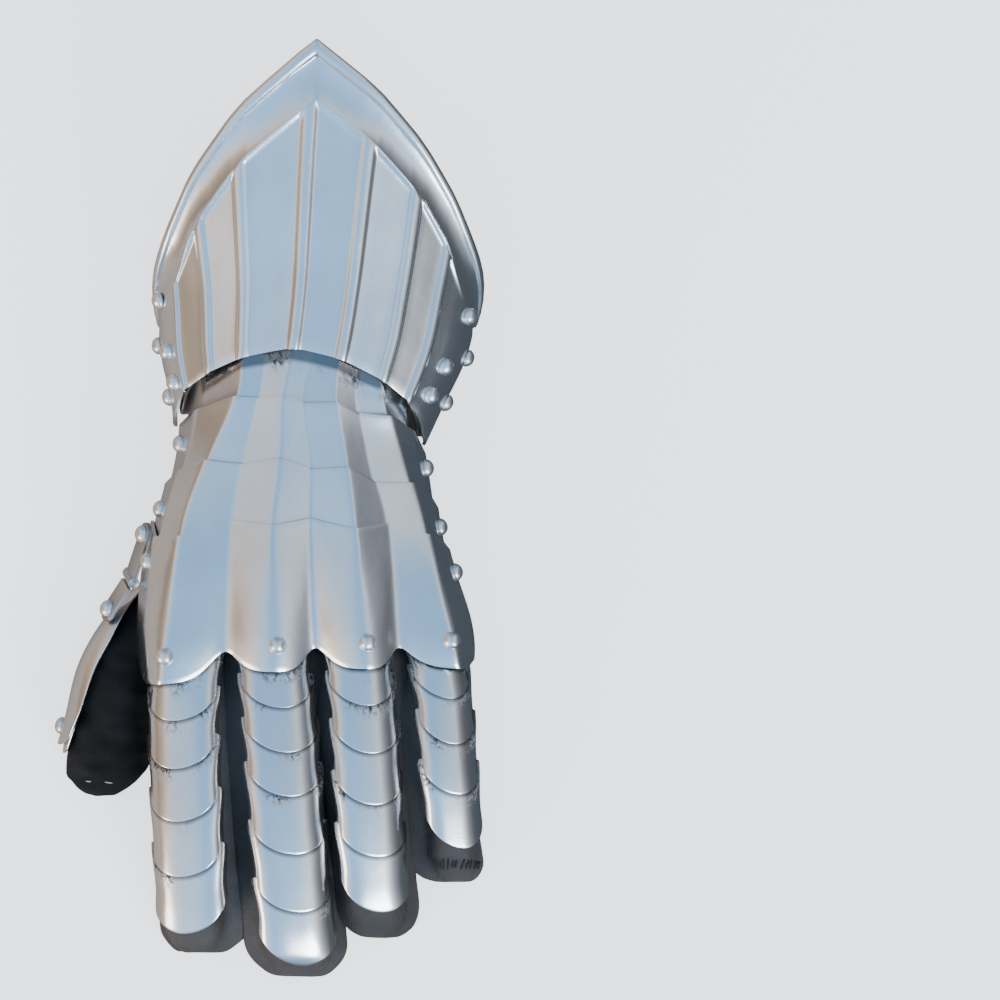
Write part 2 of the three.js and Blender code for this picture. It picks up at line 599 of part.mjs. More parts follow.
// One scale: an arch over the finger, whose lower edge is a U and lies over the next scale.
function fingerScale(finger, order) {
  const lowest = finger.edges[order];
  const upper = order === 0 ? FINGER_ROOT_Y - 1 : finger.edges[order - 1] + SCALE_TUCK + 1;
  const isLast = order === finger.edges.length - 1;
  return sheet(steps(8, -1, 1), steps(2), SCALE_STEEL, (across, row) => {
    const turn = (across * Math.PI) / 2;
    const reach = superSine(turn, FINGER_POWER);
    const bow = SCALE_BOW * (isLast ? 1.15 : 1) * (1 - Math.sqrt(Math.max(1 - reach * reach, 0)));
    const y = THREE.MathUtils.lerp(upper - SCALE_NECK * Math.abs(across) ** 3, lowest + bow, row);
    const section = fingerSection(finger, y);
    const lift = order === 0 ? THREE.MathUtils.lerp(1, SCALE_LIFT, row) : SCALE_LIFT * row;
    const wide = section.wide + SCALE_STEEL + SEAT_GAP + 0.5 + 0.7 * lift;
    const arch = SCALE_SKIRT + SCALE_STEEL + SEAT_GAP + 0.3 + lift;
    const foot = section.z + section.high - SCALE_SKIRT;
    return new THREE.Vector3(
      section.x + wide * reach,
      y,
      foot + arch * Math.abs(Math.cos(turn)) ** (2 / FINGER_POWER),
    );
  });
}

// ---------- Glove ----------

const GLOVE_WRIST_Y = 8;
const GLOVE_FRONT_Y = -50;
const GLOVE_SIDE_GAP = 4.6; // between the arch's widest line and the glove, at the knuckles
const GLOVE_WRIST_TAPER = 4.6; // and how much narrower and lower the glove is at the wrist
const GLOVE_POWER = 2.4;
// Height of the palm: flat on the ground, then rising to the roots of the fingers.
const PALM = [
  { y: 8, floor: 0 },
  { y: -16, floor: 0 },
  { y: -28, floor: 2 },
  { y: -40, floor: 8 },
  { y: -50, floor: 14.5 },
];

const palmCurve = curveThrough(PALM, 'y', 'floor');

function palmFloor(y) {
  return y >= PALM[1].y ? 0 : palmCurve(y);
}

function handRing(y, inset, ringY) {
  const taper = GLOVE_WRIST_TAPER * THREE.MathUtils.smoothstep(y, GLOVE_FRONT_Y + 12, GLOVE_WRIST_Y);
  const left = handCurve.left(y) + GLOVE_SIDE_GAP + taper + inset;
  const right = handCurve.right(y) - GLOVE_SIDE_GAP - taper - inset;
  const centre = (left + right) / 2;
  const reach = (right - left) / 2;
  const girth = handCurve.girth(y) - 6;
  const crown = handCurve.crown(y) - handCurve.relief(y) - STEEL - 1.6 - taper - inset;
  const arch = steps(8, 0, Math.PI).map((turn) => [
    centre + reach * superSine(turn + Math.PI / 2, GLOVE_POWER),
    girth + (crown - girth) * superSine(turn, GLOVE_POWER),
  ]);
  const floor = palmFloor(y) + inset;
  const palm = [
    [centre - reach * 0.97, floor + 9],
    [centre - reach * 0.84, floor],
    [centre, floor],
    [centre + reach * 0.84, floor],
    [centre + reach * 0.97, floor + 9],
  ];
  return [...arch, ...palm].map(([x, z]) => new THREE.Vector3(x, ringY, z));
}

const HAND_STATIONS = [-5, -16, -28, -40];

function handBody(inset, startY, endY) {
  return loft([startY, ...HAND_STATIONS, endY].map((y) => {
    const within = THREE.MathUtils.clamp(y, GLOVE_FRONT_Y, GLOVE_WRIST_Y);
    return handRing(within, inset, y);
  }));
}

const THUMB_SIDES = 12;

// Rings square to the thumb's middle line. rootReach moves the first of them back into the hand,
// and tipInset draws the last one in.
function thumbBody(inset, rootReach, tipInset) {
  const points = THUMB_PATH.map(({ x, y, z }) => new THREE.Vector3(x, y, z));
  return loft(THUMB_PATH.map((station, i) => {
    const ahead = points[Math.min(i + 1, points.length - 1)];
    const along = ahead.clone().sub(points[Math.max(i - 1, 0)]).normalize();
    const side = new THREE.Vector3(0, 0, 1).cross(along).normalize();
    const up = along.clone().cross(side);
    const last = i === points.length - 1;
    const centre = points[i].clone().addScaledVector(along, last ? -tipInset : 0);
    if (i === 0) centre.addScaledVector(along, -rootReach);
    return steps(THUMB_SIDES, 0, 2 * Math.PI).slice(0, -1).map((turn) => centre.clone()
      .addScaledVector(side, (station.wide - inset) * superSine(turn + Math.PI / 2, FINGER_POWER))
      .addScaledVector(up, (station.high - inset) * superSine(turn, FINGER_POWER)));
  }));
}

function gloveHand() {
  const openings = FINGERS.map((finger) => {
    const start = fingerSection(finger, FINGER_ROOT_Y);
    const ends = [GLOVE_FRONT_Y + 2 * LEATHER, GLOVE_FRONT_Y - 1];
    return loft(ends.map((y) => fingerRing(start, y, LEATHER, 1)));
  });
  let hand = solidOf(handBody(0, GLOVE_WRIST_Y, GLOVE_FRONT_Y));
  hand = hand.subtract(solidOf(handBody(LEATHER, GLOVE_WRIST_Y + 1, GLOVE_FRONT_Y + LEATHER)));
  openings.forEach((opening) => {
    hand = hand.subtract(solidOf(opening));
  });
  return geometryOf(hand.subtract(solidOf(thumbBody(LEATHER, 0, LEATHER))));
}

function gloveThumb() {
  const walls = solidOf(thumbBody(0, 0, 0)).subtract(solidOf(thumbBody(LEATHER, 2, LEATHER)));
  const clear = solidOf(handBody(-SEAT_GAP, GLOVE_WRIST_Y + 5, GLOVE_FRONT_Y - SEAT_GAP));
  return geometryOf(walls.subtract(clear));
}

// The thumb's route and size at a share of its length.
const thumbMiddles = THUMB_PATH.map(({ x, y, z }) => new THREE.Vector3(x, y, z));
const thumbRoute = new THREE.CatmullRomCurve3(thumbMiddles);
const thumbRows = THUMB_PATH.map((station, i) => ({ at: i / (THUMB_PATH.length - 1), ...station }));
const thumbWide = curveThrough(thumbRows, 'at', 'wide');
const thumbHigh = curveThrough(thumbRows, 'at', 'high');

// A point round the thumb; turn is in degrees from straight up towards the outer side.
function thumbPoint(share, turn, room) {
  const along = thumbRoute.getTangent(share);
  const side = along.clone().cross(new THREE.Vector3(0, 0, 1)).normalize();
  const up = side.clone().cross(along);
  const angle = THREE.MathUtils.degToRad(turn);
  return thumbRoute.getPoint(share)
    .addScaledVector(side, (thumbWide(share) + room) * superSine(angle, FINGER_POWER))
    .addScaledVector(up, (thumbHigh(share) + room) * superSine(angle + Math.PI / 2, FINGER_POWER));
}

const THUMB_ROOM = SCALE_STEEL + SEAT_GAP + 0.4; // outer face of a plate over the leather

const thumbPlateMiddle = curveThrough(THUMB_PLATE_LINES, 'share', 'middle');
const thumbPlateHalf = curveThrough(THUMB_PLATE_LINES, 'share', 'half');

function thumbFace({ from, to, narrower, lift }, across, row) {
  const corner = Math.abs(across) ** 3;
  const share = THREE.MathUtils.lerp(from + 0.03 * corner, to - 0.05 * corner, row);
  const turn = thumbPlateMiddle(share) + across * (thumbPlateHalf(share) - narrower);
  return thumbPoint(share, turn, THUMB_ROOM + lift * row);
}

function thumbPlate(plate) {
  return sheet(steps(7, 1, -1), steps(4), SCALE_STEEL, (across, row) => thumbFace(plate, across, row));
}

// ---------- Rivets ----------

const UP = new THREE.Vector3(0, 1, 0);

function rivetGeometry(grip) {
  const profile = [
    [0, -grip],
    [SHANK_RADIUS, -grip],
    [SHANK_RADIUS, RIVET_SEAT],
    [RIVET_RADIUS, RIVET_SEAT],
    [RIVET_RADIUS * 0.78, RIVET_SEAT + RIVET_HEIGHT * 0.7],
    [0, RIVET_SEAT + RIVET_HEIGHT],
  ];
  return new THREE.LatheGeometry(profile.map(([r, h]) => new THREE.Vector2(r, h)), RIVET_SIDES);
}

const DRILL_ABOVE = 5; // how far a drilled hole starts above the rivet's seat
const DRILL_BELOW = 1; // and how far it runs on past the end of the shank

// A hole for a rivet's shank, through everything within its grip.
function drill(geometry, rivets) {
  let solid = solidOf(geometry);
  rivets.forEach(({ point, out, grip }) => {
    const depth = DRILL_ABOVE + grip + DRILL_BELOW;
    const cutter = new THREE.CylinderGeometry(SHANK_HOLE, SHANK_HOLE, depth, SHANK_HOLE_SIDES);
    cutter.applyQuaternion(new THREE.Quaternion().setFromUnitVectors(UP, out));
    const middle = point.clone().addScaledVector(out, (DRILL_ABOVE - DRILL_BELOW - grip) / 2);
    cutter.translate(middle.x, middle.y, middle.z);
    solid = solid.subtract(solidOf(cutter));
  });
  return geometryOf(solid);
}

// A rivet on a face given by two directions, the second towards the fingers.
function rivetOn(name, face, across, y, grip) {
  const out = faceNormal((a, towards) => face(a, -towards), across, -y, 0.2, 1);
  return { name, point: face(across, y), out, grip };
}

const KNUCKLE_GRIP = STEEL + 0.5;
const KNUCKLE_RIVETS = [
  rivetOn('rivet_knuckle_index', METACARPAL.face, 3, -56.5, KNUCKLE_GRIP),
  rivetOn('rivet_knuckle_middle', METACARPAL.face, 5.1, -52.5, KNUCKLE_GRIP),
  rivetOn('rivet_knuckle_ring', METACARPAL.face, 7.1, -51.5, KNUCKLE_GRIP),
  rivetOn('rivet_knuckle_little', METACARPAL.face, 9, -50.5, KNUCKLE_GRIP),
];

// Through the cuff and the under plate at each side.
const CUFF_GRIP = UNDER_PLATE_INSET + STEEL;
const CUFF_RIVETS = [
  rivetOn('rivet_cuff_thumb_side_1', cuffPoint, -77, 76, CUFF_GRIP),
  rivetOn('rivet_cuff_thumb_side_2', cuffPoint, -71, 57, CUFF_GRIP),
  rivetOn('rivet_cuff_thumb_side_3', cuffPoint, -70, 45.5, CUFF_GRIP),
  rivetOn('rivet_cuff_thumb_side_4', cuffPoint, -88, 60, CUFF_GRIP),
  rivetOn('rivet_cuff_outer_side_1', cuffPoint, 73, 70, CUFF_GRIP),
  rivetOn('rivet_cuff_outer_side_2', cuffPoint, 63.4, 51, CUFF_GRIP),
  rivetOn('rivet_cuff_outer_side_3', cuffPoint, 62, 40.5, CUFF_GRIP),
  rivetOn('rivet_cuff_outer_side_4', cuffPoint, 88, 55.5, CUFF_GRIP),
];

// Pivots: each joint of the wrist turns on a pair of rivets, one at each side, and the line
// through the two is the joint's axis.
function pivotPair(name, face, thumbSide, outerSide, grip) {
  return [
    rivetOn(`rivet_pivot_${name}_thumb_side`, face, ...thumbSide, grip),
    rivetOn(`rivet_pivot_${name}_outer_side`, face, ...outerSide, grip),
  ];
}

// Where each pair sits: the angle on the cuff or the line of the arch, and y.
const CUFF_PIVOT_GRIP = 7.8;
const LAME_GRIP = 5;
const CUFF_PIVOTS = pivotPair('cuff', cuffPoint, [-88, 41], [88, 39], CUFF_PIVOT_GRIP);
const LAME_1_PIVOTS = pivotPair('lame_1', LAME_2.face, [1.3, 23], [10.7, 14], LAME_GRIP);
const LAME_2_PIVOTS = pivotPair('lame_2', LAME_3.face, [1.4, -1.5], [10.6, -8], LAME_GRIP);
const LAME_3_PIVOTS = pivotPair('lame_3', METACARPAL.face, [1.78, -21], [10.6, -25], LAME_GRIP);

// ---------- Thumb hinge ----------

const hingeBarrelAt = new THREE.Vector3(...HINGE.barrel);

// Directions of the upper leaf, from the barrel to its rounded end, and of the lower one.
function leafFrames() {
  const down = new THREE.Vector3(...HINGE.upperEnd).sub(hingeBarrelAt);
  const length = down.length();
  down.normalize();
  const facing = new THREE.Vector3(...HINGE.facing);
  const out = facing.addScaledVector(down, -facing.dot(down)).normalize();
  const fold = THREE.MathUtils.degToRad(HINGE.fold);
  const turned = (ofDown, ofOut) => down.clone().multiplyScalar(ofDown).addScaledVector(out, ofOut);
  const lowerDown = turned(-Math.cos(fold), Math.sin(fold));
  const lowerOut = turned(Math.sin(fold), Math.cos(fold));
  return {
    upper: { down, out, across: down.clone().cross(out), length },
    lower: {
      down: lowerDown,
      out: lowerOut,
      across: lowerDown.clone().cross(lowerOut),
      length: HINGE.lowerLength,
    },
  };
}

const LEAF = leafFrames();

// The rivet of a leaf sits in the middle of its rounded end, on its outer face.
function leafRivet(name, { down, out, length }, grip) {
  const point = hingeBarrelAt.clone().addScaledVector(down, length - HINGE.width / 2);
  return { name, point: point.addScaledVector(out, HINGE.leaf / 2), out, grip };
}

function hingeLeaf({ down, out, across, length }) {
  const half = HINGE.width / 2;
  const outline = new THREE.Shape();
  outline.moveTo(-half, 0);
  outline.lineTo(half, 0);
  outline.absarc(0, length - half, half, 0, Math.PI, false);
  const extrusion = { depth: HINGE.leaf, bevelEnabled: false, curveSegments: 8 };
  const leaf = new THREE.ExtrudeGeometry(outline, extrusion);
  leaf.translate(0, 0, -HINGE.leaf / 2);
  const placed = new THREE.Matrix4().makeBasis(across, down, out).setPosition(hingeBarrelAt);
  return solidOf(leaf.applyMatrix4(placed));
}

function hingeBarrel(radius) {
  const barrel = new THREE.CylinderGeometry(radius, radius, HINGE.width + 0.6, 12);
  barrel.applyQuaternion(new THREE.Quaternion().setFromUnitVectors(UP, LEAF.upper.across));
  return solidOf(barrel.translate(...HINGE.barrel));
}

const HINGE_RIVETS = [
  leafRivet('rivet_hinge_upper', LEAF.upper, HINGE.leaf + STEEL + 0.8),
  leafRivet('rivet_hinge_lower', LEAF.lower, HINGE.leaf + SCALE_STEEL + 0.3),
];
const THUMB_RIVET_AT = { turn: 94, percent: 65 }; // round the thumb, and along it
const THUMB_RIVET_GRIP = 2 * SCALE_STEEL + 1.4;
const overThumbPlates = (turn, y) => thumbPoint(-y / 100, -turn, THUMB_ROOM + 2);
const THUMB_RIVET = rivetOn(
  'rivet_thumb', overThumbPlates, -THUMB_RIVET_AT.turn, -THUMB_RIVET_AT.percent, THUMB_RIVET_GRIP,
);

// ---------- Assembly ----------

const steel = new THREE.MeshStandardMaterial({ color: 0xb4bcc4, metalness: 1, roughness: 0.28 });
const rivetSteel = new THREE.MeshStandardMaterial({ color: 0xd2d4d6, metalness: 1, roughness: 0.18 });
const leather = new THREE.MeshStandardMaterial({ color: 0x26262a, metalness: 0, roughness: 0.75 });

const gauntlet = new THREE.Group();

function add(name, geometry, material) {
  const mesh = new THREE.Mesh(geometry, material.clone());
  mesh.name = name;
  gauntlet.add(mesh);
  return mesh;
}

function addRivets(rivets) {
  rivets.forEach(({ name, point, out, grip }) => {
    const rivet = add(name, rivetGeometry(grip), rivetSteel);
    rivet.position.copy(point);
    rivet.quaternion.setFromUnitVectors(UP, out);
  });
}

add('cuff_plate', drill(cuffPlate(), [...CUFF_RIVETS, ...CUFF_PIVOTS]), steel);
add('cuff_under_plate', drill(underPlate(), [...CUFF_RIVETS, ...CUFF_PIVOTS]), steel);
addRivets([...CUFF_RIVETS, ...CUFF_PIVOTS]);

const lame1 = lamePlate(LAME_1, ARCH_LINES, steps(4));
const lame2 = lamePlate(LAME_2, ARCH_LINES, steps(4));
const lame3 = lamePlate(LAME_3, ARCH_LINES, steps(4));
const metacarpal = lamePlate(METACARPAL, steps(24, 0, 12), steps(5));
add('wrist_lame_1', drill(lame1, [...CUFF_PIVOTS, ...LAME_1_PIVOTS]), steel);
add('wrist_lame_2', drill(lame2, [...LAME_1_PIVOTS, ...LAME_2_PIVOTS]), steel);
add('wrist_lame_3', drill(lame3, [...LAME_2_PIVOTS, ...LAME_3_PIVOTS]), steel);
add('metacarpal_plate', drill(metacarpal, [...LAME_3_PIVOTS, ...KNUCKLE_RIVETS, HINGE_RIVETS[0]]), steel);
addRivets([...LAME_1_PIVOTS, ...LAME_2_PIVOTS, ...LAME_3_PIVOTS, ...KNUCKLE_RIVETS]);

FINGERS.forEach((finger) => {
  finger.edges.forEach((_, order) => {
    add(`scale_${finger.name}_${order + 1}`, fingerScale(finger, order), steel);
  });
  add(`glove_${finger.name}`, fingerStall(finger), leather);
});

add('glove_hand', gloveHand(), leather);
add('glove_thumb', gloveThumb(), leather);
add('thumb_plate', drill(thumbPlate(THUMB_PLATE), [HINGE_RIVETS[1], THUMB_RIVET]), steel);
add('thumb_tip_plate', drill(thumbPlate(THUMB_TIP_PLATE), [THUMB_RIVET]), steel);

const barrel = hingeBarrel(HINGE.barrelRadius);
const barrelRoom = hingeBarrel(HINGE.barrelRadius + SEAT_GAP);
const upperLeaf = geometryOf(hingeLeaf(LEAF.upper).add(barrel));
const lowerLeaf = geometryOf(hingeLeaf(LEAF.lower).subtract(barrelRoom));
add('hinge_upper_leaf', drill(upperLeaf, [HINGE_RIVETS[0]]), steel);
add('hinge_lower_leaf', drill(lowerLeaf, [HINGE_RIVETS[1]]), steel);
addRivets([...HINGE_RIVETS, THUMB_RIVET]);

// The origin goes to the middle of the footprint, on the ground.
const footprint = new THREE.Box3().setFromObject(gauntlet, true).getCenter(new THREE.Vector3());
gauntlet.children.forEach((piece) => {
  piece.position.x -= footprint.x;
  piece.position.y -= footprint.y;
});

export default gauntlet;
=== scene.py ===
# Steel gauntlet for a left hand, in the Gothic hourglass style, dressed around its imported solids.
# The tables are in millimetres, in the maker's layout: fingers towards -Y, cuff towards +Y, thumb
# at -X. SHIFT moves them to the model's own frame, and every mesh is in metres.

import json
import math
import random

import bmesh
import bpy
import numpy as np
from mathutils import Matrix, Vector, noise


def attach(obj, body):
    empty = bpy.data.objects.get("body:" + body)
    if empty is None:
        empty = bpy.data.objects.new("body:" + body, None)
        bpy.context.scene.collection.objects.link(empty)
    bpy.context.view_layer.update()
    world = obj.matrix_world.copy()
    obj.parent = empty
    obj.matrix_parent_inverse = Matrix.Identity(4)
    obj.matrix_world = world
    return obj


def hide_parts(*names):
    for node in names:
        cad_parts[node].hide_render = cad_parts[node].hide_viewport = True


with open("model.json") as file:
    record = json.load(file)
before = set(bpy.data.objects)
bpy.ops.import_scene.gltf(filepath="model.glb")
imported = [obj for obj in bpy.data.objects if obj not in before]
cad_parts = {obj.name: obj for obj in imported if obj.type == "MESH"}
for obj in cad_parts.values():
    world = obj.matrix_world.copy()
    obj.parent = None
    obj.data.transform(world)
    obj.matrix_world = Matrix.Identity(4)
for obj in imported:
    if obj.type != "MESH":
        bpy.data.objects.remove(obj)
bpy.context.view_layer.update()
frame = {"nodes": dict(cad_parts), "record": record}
NODES = frame["nodes"]

MM = 0.001
SHIFT = Vector((1.542, 4.861, 0))

# ---------- Sizes ----------

STEEL = 1.2
SCALE_STEEL = 1.0
LEATHER = 1.8
SEAT_GAP = 0.35
LINING_GAP = 1.6

LAME_LIFT = 3.0
LAME_TUCK = 11
LAME_TUCK_SIDE = 5
RIDGE_SOFTNESS = 0.6
RIDGE_SOFT_FROM = -18
RIDGE_SOFT_OVER = 30
SHOULDER_SHARE = 0.35
NOTCH_DEPTH = 1.6
NOTCH_WIDTH = 0.42
HEM_DEPTH = 13
HEM_TURN = 3.4
CREASE_ROUNDING = (0.05, 0.2)  # share of a facet that a crease rounds off, at the wrist and the knuckles
LAP_REACH = 9  # how far soiling spreads from a lap

SCALE_LIFT = 2.5
SCALE_TUCK = 12.5
SCALE_BOW = 12.5
SCALE_NECK = 0.8
SCALE_SKIRT = 9.5
SCALE_SIDE_ROOM = 0.7
SCALE_TOP_ROOM = 0.3

RIVET_RADIUS = 3.3
RIVET_HEIGHT = 2.6

HAND_KEYS = ("left", "right", "crown", "girth", "relief", "power", "thumb_hem")
HAND_SECTIONS = {
    72: (-38, 64, 68.5, 36, 0.2, 2.2, 14),
    58: (-35, 60, 66.5, 35, 0.6, 2.25, 14),
    39: (-32.2, 55.5, 64.5, 34, 1, 2.3, 14),
    25: (-33.5, 53.2, 62.5, 33, 1.3, 2.35, 14),
    10: (-37.5, 56.2, 61, 32, 1.7, 2.45, 13),
    -11: (-45, 61.3, 60, 31, 2.2, 2.6, 11),
    -25: (-48, 66.2, 59.5, 30.5, 2.6, 2.75, 8),
    -42: (-50.4, 73, 57.2, 29.5, 3.2, 2.9, 2.5),
    -54: (-50.6, 75.2, 55, 28.5, 3.7, 3.4, 1.5),
    -68: (-50, 74, 51.5, 27.5, 4.1, 3.6, 1.5),
}
# x of the seven creases: a ridge over each finger and a valley over each gap, in turn.
CREASES = {
    72: (-10.5, -1, 9, 18, 26.5, 35, 42.5),
    58: (-10.7, -1.9, 8.4, 16.7, 25.6, 33.5, 41.6),
    39: (-12.5, -4.6, 4.7, 12.1, 23.7, 31.2, 41.4),
    16: (-23.3, -10.2, 3.7, 14.6, 27.4, 34.9, 47.9),
    -8: (-32.5, -14.4, 0.9, 14.4, 30.7, 41.9, 55.8),
    -54: (-39, -17.2, 0.9, 16, 34.4, 46.9, 67.4),
}
CUFF_EDGE_OVER_LAME = (30, 37, 45, 53, 54.2, 55.8, 54.6, 52.2, 48.6, 45, 38.5, 28, 22)
LAME_2_EDGE = (27, 30.7, 35, 39.3, 38.8, 39.3, 36.8, 36.9, 33.5, 32.8, 27.5, 19.5, 17)
LAME_3_EDGE = (3.5, 8.4, 12, 16, 14.5, 16.2, 12.5, 13.1, 7.8, 7.8, 4, -0.5, -4)
METACARPAL_EDGE = (-9, -5.5, -12.2, -12.4, -6.5, -8.4, -5.6, -9.8, -7.4, -11.6, -13.6, -16.5, -20)
KNUCKLE_EDGE = (
    -52, -55, -59, -64, -66, -66.5, -66.6, -64.5, -54.5, -61, -62.3, -61, -53.4,
    -60, -61.2, -60, -53.4, -59.5, -60.8, -60.8, -60, -58, -56, -54, -52,
)
KNUCKLE_NOTCHES = (0, 8, 12, 16, 24)

CUFF_KEYS = ("centre", "reach", "crown", "girth")
CUFF_SECTIONS = {
    20: (8.5, 46.5, 67, 35),
    37: (12.5, 50.5, 69.5, 36.5),
    56: (15, 57, 72.5, 38.5),
    79: (16.7, 60.5, 78, 42),
    98: (17.1, 64, 84, 45),
    124: (17.3, 68.4, 92.5, 49),
    156: (17.7, 73.5, 103, 54),
    178: (18, 75.8, 110, 58),
}
CUFF_WRIST_EDGE = {
    -98: 30.5, -80: 33, -67: 39.8, -44: 47.6, -26: 53, -7: 55.8, 10: 52.4, 30: 45, 48: 37.6, 64: 30.5,
    78: 25, 98: 23.4,
}
CUFF_ARM_KEYS = ("edge", "rim", "chevron")
CUFF_ARM_LINES = {
    0: (166, 160, 145),
    20: (146.5, 141, 127),
    40: (123.5, 118, 105),
    60: (100.5, 94.6, 80.5),
    80: (84.8, 79.2, 66.2),
    95: (74.5, 69, 57.5),
}
# Degrees round the cuff, at the wrist and at the arm, of its ridges and of the columns outside them.
CUFF_RIDGES = ((-60.5, -60.5), (-42.5, -42.5), (-27, -24.3), (-7, -2), (11.5, 17), (31, 35), (47.8, 52))
THUMB_SIDE_COLUMNS = ((-98, -98), (-93, -93), (-88, -88), (-82, -82), (-75, -75), (-69, -69))
OUTER_COLUMNS = ((57, 59.5), (64, 66), (70, 71), (76, 77), (82, 82.5), (88, 88), (93, 93), (98, 98))
RIDGE_HEIGHT = 1.1
RIDGE_FOOT = 3
PANEL_ROUND = 0.25
CUFF_TURN_FROM = 50
CUFF_TURN_OVER = 90
CUFF_HEM_ANGLE = 98
CREST_FADE = (48, 66)
UNDER_PLATE_TOP = 56
UNDER_PLATE_ARM_EDGE = 71
UNDER_PLATE_FORWARD = 5
UNDER_PLATE_INSET = STEEL + LINING_GAP
UNDER_PLATE_TUCK = 2
UNDER_POWER = 2.6
UNDER_FLOOR = {36: 6, 54: 2.4, 71: 0}

FINGER_ROOT_Y = -50.5
FINGER_POWER = 2.3
FINGER_SWING = 1.3
FLANK_SWING = 1.5
FINGER_ROLLED_BY = 0.3
SCALE_POWER = 3.1
SCALE_CORNER = 1.7
SCALE_FLATTENING = 5  # how much less a scale falls on its flat side: 1 outer, -1 thumb's
LOW_SPREAD = 0.11
# flat is the flatter side, 1 the outer and -1 the thumb's, and wall the power of the other one. flanks is
# how far the leather stands out at the thumb's side and at the outer side, each at the root and the tip.
FINGERS = {
    "index": dict(
        root=-33.2, tip=-29.5, tip_y=-166, breadth=20, rise=0, roll=15, flat=1, wall=2.5, flare=2.4,
        flanks=((1, 6), (10.5, 9.5)), edges=(-80, -97.7, -117.2, -137.6, -158.7)),
    "middle": dict(
        root=0.6, tip=9.4, tip_y=-175, breadth=22.4, rise=3.5, roll=-10, flat=-1, wall=2.5, flare=0.6,
        flanks=((10, 7), (10.5, 8)), edges=(-75.3, -91.7, -107.9, -129.3, -150.7, -170.6)),
    "ring": dict(
        root=31.8, tip=38, tip_y=-160.5, breadth=20.4, rise=2.5, roll=-12, flat=-1, wall=2.3, flare=0.4,
        flanks=((7, 1.5), (10, 7.5)), edges=(-74.4, -92, -111, -130.2, -150.7)),
    "little": dict(
        root=61.4, tip=68, tip_y=-139.5, breadth=16.4, rise=-3.5, roll=-15, flat=-1, wall=2.0, flare=1.2,
        flanks=((8, 9), (1, 5)), edges=(-71.6, -88.4, -107, -126.9)),
}
PROFILE_KEYS = ("top", "bottom", "spread")
FINGER_PROFILE = {
    0: (44.2, 20, 0.86), 0.13: (43.9, 19.2, 0.95), 0.28: (42.2, 17.8, 1), 0.55: (36, 12.5, 1.02),
    0.78: (27.5, 5.2, 1.04), 0.93: (20, 0.6, 1.08), 1: (12.5, 1.2, 0.86),
}

THUMB_KEYS = ("x", "y", "z", "wide", "high")
THUMB_PATH = {
    0: (-38, -33, 14.5, 11.5, 11),
    0.2: (-50.5, -46, 15, 12, 11.5),
    0.4: (-58.5, -62, 16.2, 13, 12),
    0.6: (-61, -79, 15, 14.3, 12),
    0.8: (-62.5, -93, 12.5, 15.6, 11),
    1: (-65, -104.5, 9, 10.5, 7),
}
THUMB_PLATE = dict(start=0.03, end=0.74, narrower=0, lift=2.3)
THUMB_TIP_PLATE = dict(start=0.56, end=0.81, narrower=8, lift=0)
THUMB_PLATE_LINES = {0: (85, 26), 0.3: (71, 44), 0.75: (98, 44)}
THUMB_ROOM = SCALE_STEEL + SEAT_GAP + 0.4
THUMB_STEP = 0.02
THUMB_LENGTH = 72
THUMB_TIP_CLOSE = {1.02: 0.72, 1.035: 0.4}
THUMB_LEAN = Vector((-3.2, 0.8, 0))
THUMB_LEAN_FROM = 0.78

GLOVE_WRIST_Y = 8
GLOVE_FRONT_Y = -50
GLOVE_SIDE_GAP = 4.6
GLOVE_WRIST_TAPER = 4.6
GLOVE_POWER = 2.4
PALM_POWER = 3.6
PALM_RISES_FROM = -16
PALM = {8: 0, -16: 0, -28: 2, -40: 8, -50: 14.5}
SKIN_VOXEL = 1.5
SKIN_SMOOTHINGS = 6

HINGE_BARREL = Vector((-53.4, -26, 31))
HINGE_END = Vector((-46.2, -6.6, 41.5))
HINGE_FACING = Vector((-0.86, 0.2, 0.46))
HINGE_FOLD = 15
HINGE_LOWER = 19.5
HINGE_WIDTH = 9
HINGE_LEAF = 1.8
HINGE_ROLL = 2.5

# ---------- Curves ----------


def lerp(a, b, t):
    return a + (b - a) * t


def clamp(value, low, high):
    return max(low, min(high, value))


def smoothstep(value, low, high):
    t = clamp((value - low) / (high - low), 0, 1)
    return t * t * (3 - 2 * t)


def smooth_curve(xs, values):
    """A smooth curve through points, which runs straight on past its two ends."""
    last = len(xs) - 1
    slopes = [(values[min(i + 1, last)] - values[max(i - 1, 0)]) / (xs[min(i + 1, last)] - xs[max(i - 1, 0)])
              for i in range(last + 1)]

    def curve(t):
        if t <= xs[0]:
            return values[0] + slopes[0] * (t - xs[0])
        if t >= xs[last]:
            return values[last] + slopes[last] * (t - xs[last])
        i = next(k for k in range(last) if t <= xs[k + 1])
        span = xs[i + 1] - xs[i]
        s = (t - xs[i]) / span
        start = values[i] * (1 + 2 * s) * (1 - s) ** 2 + slopes[i] * span * s * (1 - s) ** 2
        end = values[i + 1] * s * s * (3 - 2 * s) + slopes[i + 1] * span * s * s * (s - 1)
        return start + end

    return curve


def curve_of(table):
    return smooth_curve(sorted(table), [table[x] for x in sorted(table)])


def table_curves(table, keys):
    return {key: curve_of({x: row[i] for x, row in table.items()}) for i, key in enumerate(keys)}


def between(values, position):
    i = min(int(position), len(values) - 2)
    return lerp(values[i], values[i + 1], position - i)


def steps(count, start=0.0, end=1.0):
    return [start + (end - start) * i / count for i in range(count + 1)]


def power_sine(angle, power):
    s = math.sin(angle)
    return math.copysign(abs(s) ** (2 / power), s)


